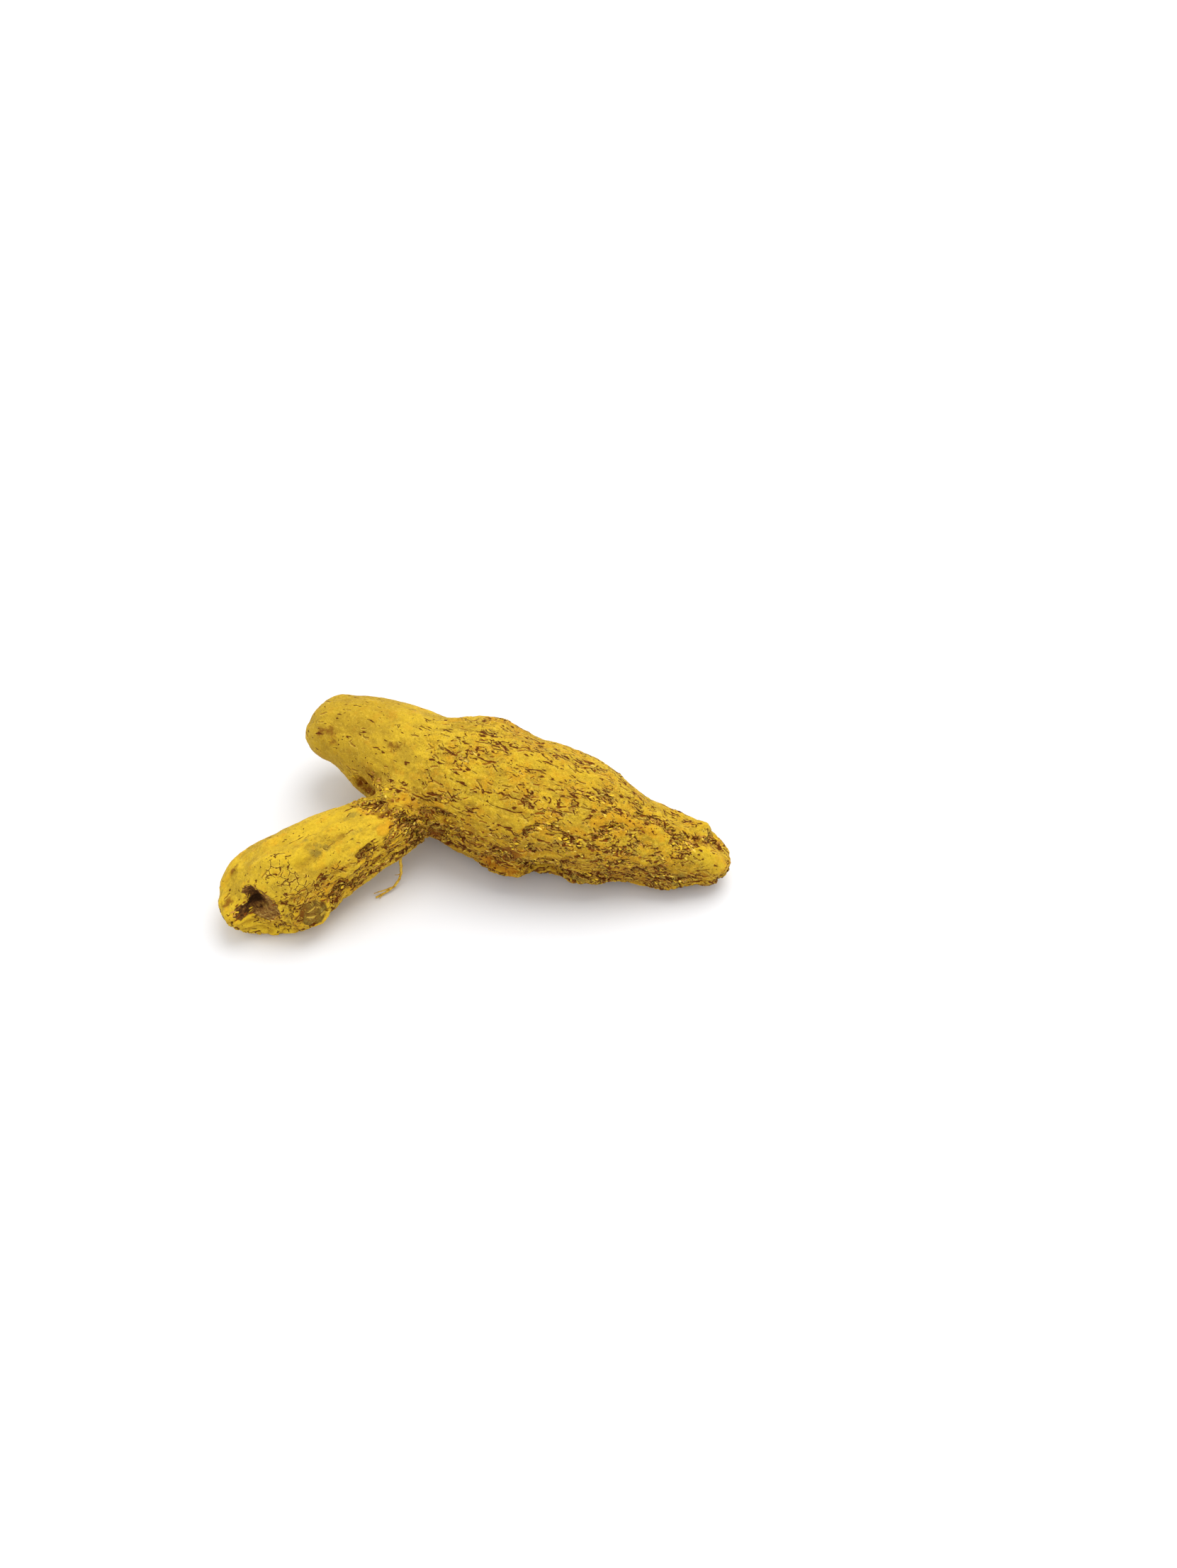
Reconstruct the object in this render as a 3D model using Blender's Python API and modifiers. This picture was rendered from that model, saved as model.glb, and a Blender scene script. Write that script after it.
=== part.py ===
# A branched finger of cured turmeric rhizome lying on a table, with the dry rootlet that hangs from its fork.
# Sizes are written in millimetres and turned into metres where the meshes are made.
import math

import bmesh
import bpy
from mathutils import Matrix, Vector

MM = 0.001
COLLECTION = "turmeric_root"

# The part is laid out with the main finger running along +X from its head, the side finger on the -Y side.
# This point of that layout, below the middle of the whole root, becomes the part's origin.
MIDDLE_ON_TABLE = (26.3, -9.7, 0.0)

# One row for each section: place along, place aside, height of the middle, half width, half height
MAIN_FINGER = (
    (2.8, 0.6, 9.0, 5.2, 5.1),
    (6.5, 0.6, 8.6, 6.3, 6.1),
    (10.5, 0.1, 8.2, 6.9, 6.8),
    (15.0, -0.6, 7.9, 7.5, 7.5),
    (20.0, -0.9, 7.9, 8.3, 8.3),
    (25.0, -1.6, 7.9, 8.7, 8.6),
    (30.0, -2.0, 7.8, 8.6, 8.4),
    (34.5, -1.7, 7.3, 8.0, 7.8),
    (39.0, -1.6, 6.6, 7.1, 7.0),
    (43.5, -1.1, 5.6, 5.7, 5.7),
    (47.5, -0.6, 4.7, 4.8, 4.8),
    (51.0, 0.0, 4.0, 4.1, 4.2),
    (53.1, 0.1, 3.4, 3.1, 3.3),
)
MAIN_HEAD_DOME = 4.5
MAIN_TIP_DOME = 2.4
MAIN_BLUNTNESS = 2.0

SIDE_FINGER = (
    (15.5, -5.0, 7.9, 4.6, 4.6),
    (13.2, -10.4, 7.5, 4.7, 4.7),
    (10.2, -14.3, 6.7, 5.2, 5.1),
    (7.5, -17.8, 6.1, 5.6, 5.5),
    (5.4, -20.9, 5.8, 6.0, 5.9),
    (3.5, -23.6, 5.6, 6.3, 5.8),
)
SIDE_ROOT_DOME = 2.0
SIDE_TIP_DOME = 5.6
SIDE_BLUNTNESS = 2.8

# Swells and hollows: place along the finger from its first section, angle from the top towards -Y,
# reach along, reach around in degrees, rise (below zero for a hollow)
MAIN_SWELLS = (
    (0.0, 128.0, 5.0, 40.0, -0.9),
    (13.0, -55.0, 4.5, 45.0, -0.35),
    (20.0, -52.0, 4.0, 40.0, 0.35),
    (25.5, -55.0, 2.2, 40.0, -0.3),
    (32.5, -55.0, 4.5, 40.0, 0.3),
    (41.0, -50.0, 4.0, 45.0, -0.3),
    (32.0, 92.0, 12.0, 16.0, -0.45),
    (44.0, 92.0, 5.0, 16.0, -0.35),
)
SIDE_SWELLS = (
    (6.5, 60.0, 3.5, 35.0, -0.8),
    (5.0, -115.0, 3.0, 40.0, 0.4),
    (12.0, -52.0, 9.0, 24.0, 0.35),
    (10.0, -98.0, 8.0, 24.0, -0.35),
    (17.0, 10.0, 6.0, 30.0, -0.3),
    (21.5, -100.0, 3.5, 35.0, 1.4),
)

# How finely a finger is lofted, the half width under which its swells fade out, and how far the point
# that closes an end stands out from the last ring, as a share of that ring's half width
RING_STEP = 1.0
RING_POINTS = 28
DOME_RINGS = 7
SWELL_FADE = 3.0
POLE_RISE = 0.25

# Lumps grown on the skin: place, half sizes, turn about Z and tilt about the long axis in degrees
LUMPS = {
    "broken_bud": ((29.6, -9.0, 4.2), (3.4, 1.4, 1.2), 8.0, 40.0),
    "ridge_scar": ((38.9, -7.6, 3.6), (3.2, 0.8, 1.2), 4.0, 40.0),
    "leaf_scar": ((47.6, -4.5, 2.6), (3.2, 0.9, 1.2), 12.0, 35.0),
    "fork_nodule": ((17.4, -10.2, 9.3), (0.9, 0.9, 0.8), 0.0, 0.0),
    "second_nodule": ((15.2, -11.2, 11.0), (0.8, 0.7, 0.7), 0.0, 0.0),
    "round_scar": ((9.5, -24.4, 5.2), (2.0, 0.9, 2.0), 45.0, -15.0),
}

# The side finger ends in a slanting, slightly domed face: its foremost point, the way that it faces,
# the radius of its dome and how deep the dome is
END_FACE_FRONT = (5.3, -25.9, 5.5)
END_FACE_AIM = (0.27, -0.92, 0.28)
END_FACE_RADIUS = 14.0
END_FACE_RISE = 3.0

# Triangular pit where the tip of the side finger rotted away: a three-sided cone with its middle at the skin
PIT_PLACE = (3.2, -26.2, 6.6)
PIT_AIM = (0.10, -0.80, 0.58)
PIT_FLOOR_RADIUS = 1.0
PIT_MOUTH_RADIUS = 4.8
PIT_DEPTH = 1.9
PIT_TURN = 20.0

# Finish of the solid: how finely the lumps are fused and eased, and the share of the faces that stays
FUSE_CELL = 0.45
EASE_STEPS = 9
SKIN_UNEVENNESS = 0.55
SKIN_UNEVENNESS_SIZE = 5.0
FACES_KEPT = 0.18

# The flat spots that the root rests on are where the table meets its underside
TABLE_REACH = 60.0
TABLE_DEPTH = 8.0

ROOTLET_PATH = (
    (15.9, -12.3, 3.4),
    (16.2, -12.9, 2.5),
    (16.3, -13.6, 1.6),
    (15.9, -14.6, 0.9),
    (15.1, -15.7, 0.5),
    (14.2, -16.7, 0.4),
)
ROOTLET_RADII = (0.22, 0.17, 0.14, 0.14, 0.12, 0.08)

SKIN_COLOUR = (0.64, 0.42, 0.035, 1.0)
SKIN_ROUGHNESS = 0.85
ROOTLET_COLOUR = (0.42, 0.27, 0.05, 1.0)
ROOTLET_ROUGHNESS = 0.9


def clear_scene():
    for obj in list(bpy.data.objects):
        bpy.data.objects.remove(obj, do_unlink=True)


def collection(name):
    made = bpy.data.collections.new(name)
    bpy.context.scene.collection.children.link(made)
    return made


def material(name, colour, roughness):
    made = bpy.data.materials.new(name)
    made.use_nodes = True
    shader = made.node_tree.nodes["Principled BSDF"]
    shader.inputs["Base Color"].default_value = colour
    shader.inputs["Roughness"].default_value = roughness
    shader.inputs["Metallic"].default_value = 0.0
    return made


def object_from(bm, name, home, helper=False):
    """Turns a bmesh in millimetres into an object in metres."""
    bmesh.ops.scale(bm, vec=(MM, MM, MM), verts=bm.verts)
    bmesh.ops.recalc_face_normals(bm, faces=bm.faces)
    mesh = bpy.data.meshes.new(name)
    bm.to_mesh(mesh)
    bm.free()
    obj = bpy.data.objects.new(name, mesh)
    home.objects.link(obj)
    if helper:
        obj.hide_render = True
        obj.display_type = "WIRE"
    return obj


def catmull_rom(rows, position):
    """A smooth value between rows, at a position counted in rows from the first."""
    last = len(rows) - 1
    index = min(int(position), last - 1)
    t = position - index
    before = rows[max(index - 1, 0)]
    start = rows[index]
    end = rows[index + 1]
    after = rows[min(index + 2, last)]
    return [
        0.5 * (2 * b + (c - a) * t + (2 * a - 5 * b + 4 * c - d) * t**2 + (3 * b - a - 3 * c + d) * t**3)
        for a, b, c, d in zip(before, start, end, after)
    ]


def sections_along(rows, head_dome, tip_dome, bluntness):
    """Sections every RING_STEP through the rows, closed at both ends by a dome.

    Each section is (middle, direction, half width, half height, distance from the first row).
    """
    path = []
    for index in range(len(rows) - 1):
        gap = (Vector(rows[index + 1][:3]) - Vector(rows[index][:3])).length
        steps = max(2, round(gap / RING_STEP))
        path += [catmull_rom(rows, index + step / steps) for step in range(steps)]
    path.append(list(rows[-1]))

    middles = [Vector(row[:3]) for row in path]
    sections = []
    travelled = 0.0
    for index, row in enumerate(path):
        if index:
            travelled += (middles[index] - middles[index - 1]).length
        ahead = middles[min(index + 1, len(middles) - 1)]
        behind = middles[max(index - 1, 0)]
        sections.append((middles[index], (ahead - behind).normalized(), row[3], row[4], travelled))
    head = dome(sections[0], -head_dome, bluntness)
    return head[::-1] + sections + dome(sections[-1], tip_dome, bluntness)


def dome(section, length, bluntness):
    """Shrinking sections that carry an end on by this length, a quarter of a superellipse (2 is round)."""
    middle, direction, half_width, half_height, travelled = section
    made = []
    for ring in range(1, DOME_RINGS):
        angle = math.radians(90.0 * ring / DOME_RINGS)
        reach = length * math.sin(angle) ** (2 / bluntness)
        shrink = math.cos(angle) ** (2 / bluntness)
        made.append((
            middle + direction * reach,
            direction,
            half_width * shrink,
            half_height * shrink,
            travelled + reach,
        ))
    return made


def swell_at(swells, travelled, angle):
    total = 0.0
    for along, around, reach_along, reach_around, rise in swells:
        turn = (math.degrees(angle) - around + 180.0) % 360.0 - 180.0
        total += rise * math.exp(-((travelled - along) / reach_along) ** 2 - (turn / reach_around) ** 2)
    return total


def finger(name, rows, head_dome, tip_dome, bluntness, swells, home, helper=False):
    """A closed loft through the sections of one finger."""
    bm = bmesh.new()
    rings = []
    sections = sections_along(rows, head_dome, tip_dome, bluntness)
    for middle, direction, half_width, half_height, travelled in sections:
        side = direction.cross(Vector((0.0, 0.0, 1.0))).normalized()
        up = side.cross(direction)
        fade = min(1.0, half_width / SWELL_FADE)
        ring = []
        for point in range(RING_POINTS):
            angle = 2 * math.pi * point / RING_POINTS
            rise = fade * swell_at(swells, travelled, angle)
            offset = side * math.sin(angle) * (half_width + rise) + up * math.cos(angle) * (half_height + rise)
            ring.append(bm.verts.new(middle + offset))
        rings.append(ring)
    for ring, following in zip(rings, rings[1:]):
        for point in range(RING_POINTS):
            beside = (point + 1) % RING_POINTS
            bm.faces.new((ring[point], ring[beside], following[beside], following[point]))
    first, last = sections[0], sections[-1]
    for ring, section, sign in ((rings[0], first, -1.0), (rings[-1], last, 1.0)):
        middle, direction, half_width = section[:3]
        pole = bm.verts.new(middle + direction * sign * POLE_RISE * half_width)
        for point in range(RING_POINTS):
            bm.faces.new((ring[point], ring[(point + 1) % RING_POINTS], pole))
    return object_from(bm, name, home, helper)


def lump(name, place, half_sizes, turn, tilt, home):
    bm = bmesh.new()
    bmesh.ops.create_uvsphere(bm, u_segments=20, v_segments=12, radius=1.0)
    stretch = Matrix.Diagonal((*half_sizes, 1.0))
    turned = Matrix.Rotation(math.radians(turn), 4, "Z") @ Matrix.Rotation(math.radians(tilt), 4, "X")
    bmesh.ops.transform(bm, matrix=Matrix.Translation(place) @ turned @ stretch, verts=bm.verts)
    return object_from(bm, name, home, helper=True)


def pit(home):
    """A three-sided cone that points into the flesh."""
    bm = bmesh.new()
    bmesh.ops.create_cone(
        bm, cap_ends=True, segments=3, radius1=PIT_FLOOR_RADIUS, radius2=PIT_MOUTH_RADIUS, depth=2 * PIT_DEPTH)
    aim = Vector(PIT_AIM).to_track_quat("Z", "Y").to_matrix().to_4x4()
    turn = Matrix.Rotation(math.radians(PIT_TURN), 4, "Z")
    bmesh.ops.transform(bm, matrix=Matrix.Translation(PIT_PLACE) @ aim @ turn, verts=bm.verts)
    return object_from(bm, "pit_cutter", home, helper=True)


def end_face(home):
    """A block with a dish in its near side, which leaves a domed end."""
    aim = Vector(END_FACE_AIM).to_track_quat("Z", "Y").to_matrix().to_4x4()
    place = Matrix.Translation(END_FACE_FRONT) @ aim
    size = 2 * END_FACE_RADIUS
    bm = bmesh.new()
    bmesh.ops.create_cube(bm, size=size)
    bmesh.ops.translate(bm, vec=(0.0, 0.0, size / 2 - END_FACE_RISE), verts=bm.verts)
    bmesh.ops.transform(bm, matrix=place, verts=bm.verts)
    block = object_from(bm, "end_face_cutter", home, helper=True)
    bm = bmesh.new()
    bmesh.ops.create_uvsphere(bm, u_segments=48, v_segments=32, radius=END_FACE_RADIUS)
    bmesh.ops.translate(bm, vec=(0.0, 0.0, -END_FACE_RADIUS), verts=bm.verts)
    bmesh.ops.transform(bm, matrix=place, verts=bm.verts)
    boolean(block, object_from(bm, "end_face_dish", home, helper=True), "DIFFERENCE")
    return block


def table(home):
    bm = bmesh.new()
    bmesh.ops.create_cube(bm, size=1.0)
    bmesh.ops.scale(bm, vec=(2 * TABLE_REACH, 2 * TABLE_REACH, TABLE_DEPTH), verts=bm.verts)
    bmesh.ops.translate(bm, vec=(MIDDLE_ON_TABLE[0], MIDDLE_ON_TABLE[1], -TABLE_DEPTH / 2), verts=bm.verts)
    return object_from(bm, "table_cutter", home, helper=True)


def boolean(obj, other, operation):
    modifier = obj.modifiers.new(f"{operation.lower()} {other.name}", "BOOLEAN")
    modifier.object = other
    modifier.operation = operation
    modifier.solver = "EXACT"


def rhizome(home, helpers):
    root = finger(
        "rhizome", MAIN_FINGER, MAIN_HEAD_DOME, MAIN_TIP_DOME, MAIN_BLUNTNESS, MAIN_SWELLS, home)
    branch = finger(
        "side_finger", SIDE_FINGER, SIDE_ROOT_DOME, SIDE_TIP_DOME, SIDE_BLUNTNESS, SIDE_SWELLS, helpers, True)
    boolean(root, branch, "UNION")
    boolean(root, end_face(helpers), "DIFFERENCE")
    for name, (place, half_sizes, turn, tilt) in LUMPS.items():
        boolean(root, lump(name, place, half_sizes, turn, tilt, helpers), "UNION")
    boolean(root, pit(helpers), "DIFFERENCE")

    fuse = root.modifiers.new("fuse", "REMESH")
    fuse.mode = "VOXEL"
    fuse.voxel_size = FUSE_CELL * MM
    fuse.use_smooth_shade = True

    ease = root.modifiers.new("ease", "SMOOTH")
    ease.factor = 0.5
    ease.iterations = EASE_STEPS

    uneven = root.modifiers.new("uneven skin", "DISPLACE")
    uneven.texture = bpy.data.textures.new("uneven skin", "CLOUDS")
    uneven.texture.noise_scale = SKIN_UNEVENNESS_SIZE * MM
    uneven.texture.noise_depth = 1
    uneven.strength = SKIN_UNEVENNESS * MM
    uneven.mid_level = 0.5

    thin = root.modifiers.new("fewer faces", "DECIMATE")
    thin.ratio = FACES_KEPT

    boolean(root, table(helpers), "DIFFERENCE")
    root.data.materials.append(material("turmeric_skin", SKIN_COLOUR, SKIN_ROUGHNESS))
    return root


def rootlet(home):
    """The dry root fibre, a tapered tube that hangs from the fork to the table."""
    curve = bpy.data.curves.new("rootlet", "CURVE")
    curve.dimensions = "3D"
    curve.bevel_depth = MM
    curve.bevel_resolution = 2
    curve.use_fill_caps = True
    spline = curve.splines.new("POLY")
    spline.points.add(len(ROOTLET_PATH) - 1)
    for point, place, radius in zip(spline.points, ROOTLET_PATH, ROOTLET_RADII):
        point.co = (*(Vector(place) * MM), 1.0)
        point.radius = radius
    obj = bpy.data.objects.new("rootlet", curve)
    home.objects.link(obj)
    curve.materials.append(material("rootlet_fibre", ROOTLET_COLOUR, ROOTLET_ROUGHNESS))
    return obj


def main():
    clear_scene()
    home = collection(COLLECTION)
    helpers = collection("cutters")
    frame = bpy.data.objects.new(f"{COLLECTION}_frame", None)
    frame.location = Vector(MIDDLE_ON_TABLE) * -MM
    home.objects.link(frame)
    rhizome(home, helpers)
    rootlet(home)
    for obj in list(home.objects) + list(helpers.objects):
        if obj is not frame:
            obj.parent = frame


main()
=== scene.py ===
import math

import bmesh
import bpy
import numpy as np
from mathutils import Euler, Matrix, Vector, noise
from mathutils.bvhtree import BVHTree


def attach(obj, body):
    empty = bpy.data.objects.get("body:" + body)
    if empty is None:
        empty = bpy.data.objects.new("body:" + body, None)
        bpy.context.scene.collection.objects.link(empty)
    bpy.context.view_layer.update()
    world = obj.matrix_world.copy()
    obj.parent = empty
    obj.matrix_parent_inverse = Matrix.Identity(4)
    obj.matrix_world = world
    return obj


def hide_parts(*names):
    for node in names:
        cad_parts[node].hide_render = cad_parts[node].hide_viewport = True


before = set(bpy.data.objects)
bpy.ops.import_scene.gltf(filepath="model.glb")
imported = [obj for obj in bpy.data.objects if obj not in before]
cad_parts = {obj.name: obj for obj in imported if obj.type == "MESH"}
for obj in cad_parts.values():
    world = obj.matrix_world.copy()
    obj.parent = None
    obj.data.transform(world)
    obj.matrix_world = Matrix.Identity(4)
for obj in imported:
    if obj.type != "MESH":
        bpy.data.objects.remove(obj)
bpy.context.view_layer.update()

metresPerMm = 0.001

# Places are in mm in the root's own frame: +X from the head to the tip of the main finger,
# the side finger on the -Y side, z = 0 on the paper.
# A mark that the photo shows is given by pixels of the photo, and is laid on the skin that they show.

photo = {"width": 1661, "height": 2212}
camera = {
    "place": (0.0506, -0.1083, 0.1609),
    "tilt": 40.0,
    "turn": 18.76,
    "lens": 36.0,
    "sensor": 36.0,
}

# middle lines of the two fingers, which the grain of the skin follows
mainLine = ((-28.0, 10.3, 9.2), (-19.8, 10.3, 8.6), (-11.3, 9.1, 7.9), (-1.3, 8.1, 7.9),
            (8.2, 8.0, 7.3), (17.2, 8.6, 5.6), (30.0, 9.8, 3.2))
sideLine = ((-8.0, 8.5, 8.0), (-10.8, 4.7, 7.9), (-13.1, -0.7, 7.5), (-16.1, -4.6, 6.7),
            (-18.8, -8.1, 6.1), (-22.8, -13.9, 5.6), (-25.5, -18.5, 5.4))
forkPoint = (-10.9, 1.0, 8.0)    # where the grain of one finger turns into the other's
neckPoint = (-10.5, -1.0, 9.0)   # the worn place where the side finger grows out
towardsLight = (0.1, 0.6, 0.8)

skinShape = {
    "roughVoxel": 0.22,      # spacing of the mesh that the marks are sculpted in
    "voxel": 0.218,          # spacing of the finished mesh
    "tearDepth": 0.17,       # thickness of the yellow skin where it is torn
    "tearSize": 1.0,
    "tearStretch": 1.8,      # how much longer tears are along the finger
    "wrinkleDepth": 0.34,
    "wrinkleSpacing": 1.3,
    "unevenness": 0.40,      # slow waves under the skin
    "lumpHeight": 0.34,
    "rugHeight": 0.75,       # rough ridges where the fingers meet
}
reliefSizes = ("tearDepth", "tearSize", "tearStretch", "wrinkleDepth", "wrinkleSpacing", "unevenness",
               "lumpHeight", "rugHeight")
tearLayers = ((3.0, 1.0, 1.0), (17.0, 0.5, 0.6))  # where in the noise, size and depth, as shares

# dents (minus) and bumps (plus): pixels, width and height in mm, and the edge where it isn't soft
shapeMarks = (
    ("cavity over the bud", ((697, 1198), (708, 1201), (718, 1205)), 0.9, -0.55),
    ("hole at the crease", ((736, 1214), (743, 1216)), 0.8, -0.7),
    ("crease under the belly", ((745, 1215), (763, 1212), (789, 1216), (802, 1213), (820, 1209)),
     0.7, -0.5, "sharp"),
    ("lower crease", ((750, 1217), (769, 1220), (788, 1222), (803, 1219)), 0.5, -0.3, "sharp"),
    ("fold over the crease", ((742, 1207), (765, 1205), (795, 1207)), 0.8, 0.25),
    ("orange lip", ((722, 1208), (735, 1203)), 0.8, 0.35),
    ("long dark crease", ((878, 1228), (901, 1225), (925, 1224), (948, 1223)), 0.5, -0.35, "sharp"),
    ("belly crease", ((859, 1218), (873, 1214), (890, 1217), (903, 1223)), 0.6, -0.35, "sharp"),
    ("wavy crease", ((884, 1202), (905, 1210), (925, 1205)), 0.45, -0.25, "sharp"),
    ("crease to the shoulder", ((740, 1176), (762, 1162), (777, 1169), (786, 1165)), 0.55, -0.35, "sharp"),
    ("ring crack", ((809, 1114), (810, 1128), (813, 1144)), 0.5, -0.28, "sharp"),
    ("shoulder ridge", ((838, 1160), (862, 1152), (884, 1156), (908, 1168), (935, 1182)), 1.0, 0.32),
    ("hollow under the shoulder", ((838, 1179), (852, 1174), (868, 1166), (878, 1164)), 0.6, -0.3),
    ("lower ridge", ((846, 1184), (872, 1175), (884, 1170), (902, 1178)), 0.7, 0.2),
    ("hollow above the shoulder", ((899, 1150), (912, 1154), (928, 1160), (946, 1171)), 0.7, -0.28),
    ("edge at the tip", ((947, 1190), (955, 1180)), 0.5, -0.3, "sharp"),
    ("tip groove", ((958, 1190), (975, 1186), (990, 1184), (1006, 1187)), 1.2, -0.45),
    ("tip nub", ((985, 1207), (1000, 1208)), 1.9, 0.30),
    ("tip corner", ((986, 1163), (1001, 1168)), 1.6, 0.50),
    ("hump", ((690, 1018), (716, 1020)), 3.0, 0.25),
    ("fork hollow", ((510, 1106), (517, 1113), (524, 1120)), 1.3, -0.8),
    ("slot", ((506, 1208), (513, 1202), (521, 1196)), 0.7, -1.2, "sharp"),
    ("dark hollow", ((470, 1264), (475, 1254), (480, 1247)), 1.0, -0.75),
    ("neck crease", ((530, 1131), (552, 1148), (575, 1160)), 0.7, -0.35, "sharp"),
    ("cleft beside the orange bump", ((554, 1163), (551, 1176), (544, 1192)), 0.5, -0.4, "sharp"),
    ("orange bump", ((541, 1172), (548, 1162)), 1.2, 0.35),
    ("fork shadow", ((584, 1160), (598, 1170), (594, 1178)), 0.8, -0.5),
    ("upper nodule", ((544, 1145),), 0.5, 0.35, "round"),
    ("fork nodule", ((590, 1164),), 0.65, 0.65, "round"),
    ("neck fold high", ((596, 1143), (620, 1145), (643, 1151)), 0.6, -0.5, "sharp"),
    ("neck fold middle", ((599, 1157), (626, 1166), (651, 1171), (668, 1182)), 0.6, -0.5, "sharp"),
    ("neck fold low", ((607, 1167), (639, 1177), (652, 1183)), 0.6, -0.4, "sharp"),
    ("side crease", ((583, 1190), (558, 1207), (531, 1224), (500, 1241)), 0.5, -0.35, "sharp"),
    ("side crease low", ((566, 1203), (544, 1218), (510, 1240), (492, 1249)), 0.4, -0.25, "sharp"),
    ("left dent", ((317, 1278), (322, 1272)), 0.6, -0.25),
    ("scar rim", ((424, 1280), (433, 1272), (447, 1270), (459, 1275)), 0.5, 0.14),
    ("scar crescent", ((426, 1298), (427, 1286), (434, 1277)), 0.5, -0.3),
    ("notch", ((765, 1232), (778, 1233)), 2.9, -2.7),
    ("bud stub", ((684, 1218), (706, 1226), (730, 1232)), 1.6, 0.60),
    ("end of the stub", ((734, 1228), (744, 1230)), 1.2, 0.35),
    ("side ridge", ((405, 1215), (440, 1185), (470, 1165)), 1.0, 0.45),
    ("side valley", ((424, 1224), (455, 1196), (482, 1178)), 0.9, -0.5),
    ("second side ridge", ((446, 1222), (476, 1200), (500, 1182)), 0.9, 0.4),
    ("hollow over the side", ((372, 1198), (396, 1186)), 1.6, -0.4),
    ("side of the tip", ((1015, 1183), (1026, 1195)), 2.6, -1.5),
    ("flat before the tip", ((948, 1150), (970, 1154)), 2.2, -0.45),
    ("over the stub", ((674, 1204), (690, 1209), (706, 1212)), 0.5, -0.3),
    ("ridge scar", ((806, 1240), (828, 1242), (846, 1241)), 1.1, 0.40),
    ("ridge scar line", ((800, 1230), (816, 1231), (836, 1234), (852, 1236)), 0.4, -0.3, "sharp"),
    ("leaf scar", ((924, 1243), (950, 1245)), 1.3, 0.28),
    ("lower end corner", ((317, 1289), (328, 1301)), 2.5, 1.5),
    ("upper end corner", ((334, 1212), (318, 1234)), 4.6, -1.5),
    ("foot of the end", ((333, 1303), (345, 1307)), 2.3, 0.65),
    ("under the end", ((376, 1312), (404, 1316)), 2.0, -0.5),
    ("neck gully", ((512, 1136), (532, 1138), (556, 1152), (580, 1166), (600, 1178)), 1.3, -0.45),
    ("ridge over the gully", ((548, 1136), (566, 1146), (586, 1154)), 0.6, 0.35),
    ("ridge below the neck", ((612, 1158), (636, 1166), (656, 1176)), 0.5, 0.3),
)

# rough places, where the skin stands in ridges and flakes: width in mm, amount 0 to 1
ruggedMarks = (
    ("collar", ((503, 1130), (533, 1138), (560, 1152), (585, 1165), (602, 1180)), 1.9, 1.0),
    ("below the neck", ((596, 1150), (636, 1164), (676, 1184), (706, 1198)), 2.0, 0.85),
    ("over the fork", ((522, 1092), (534, 1108), (548, 1126)), 1.5, 0.65),
    ("fork hollow", ((504, 1100), (516, 1111), (526, 1122)), 1.1, 0.9),
    ("side of the finger", ((575, 1188), (540, 1212), (495, 1244)), 1.3, 0.6),
    ("crease under the belly", ((736, 1212), (760, 1216), (800, 1216)), 0.9, 0.5),
    ("under the shoulder", ((838, 1180), (868, 1166), (922, 1181)), 0.9, 0.5),
    ("tip band", ((948, 1190), (975, 1184), (1006, 1186)), 1.2, 0.7),
    ("leaf scar", ((918, 1240), (960, 1243)), 0.9, 0.7),
    ("dark hollow", ((469, 1264), (481, 1247)), 0.9, 0.8),
    ("round the round scar", ((436, 1270), (463, 1273)), 0.6, 0.6),
)

# the open wound in the end of the side finger: its outline and its deepest place
pit = {
    "outline": ((351, 1246), (363, 1251), (375, 1261), (388, 1273), (397, 1284), (397, 1294), (384, 1298),
                (368, 1293), (356, 1285), (349, 1292), (339, 1299), (330, 1294), (333, 1282), (341, 1276),
                (350, 1273), (349, 1265), (340, 1260), (342, 1254)),
    "deepest": (358, 1267),
    "brown": ((354, 1250), (363, 1262), (352, 1274), (338, 1290)),
    "brownWidth": 1.9,
    # painted shade along the deepest part of the wound, and its width
    "dark": ((365, 1264), (353, 1269)),
    "paintedShadeWidth": 1.0,
    "depth": 0.74,
    "lowerDepth": 0.30,
}

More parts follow.
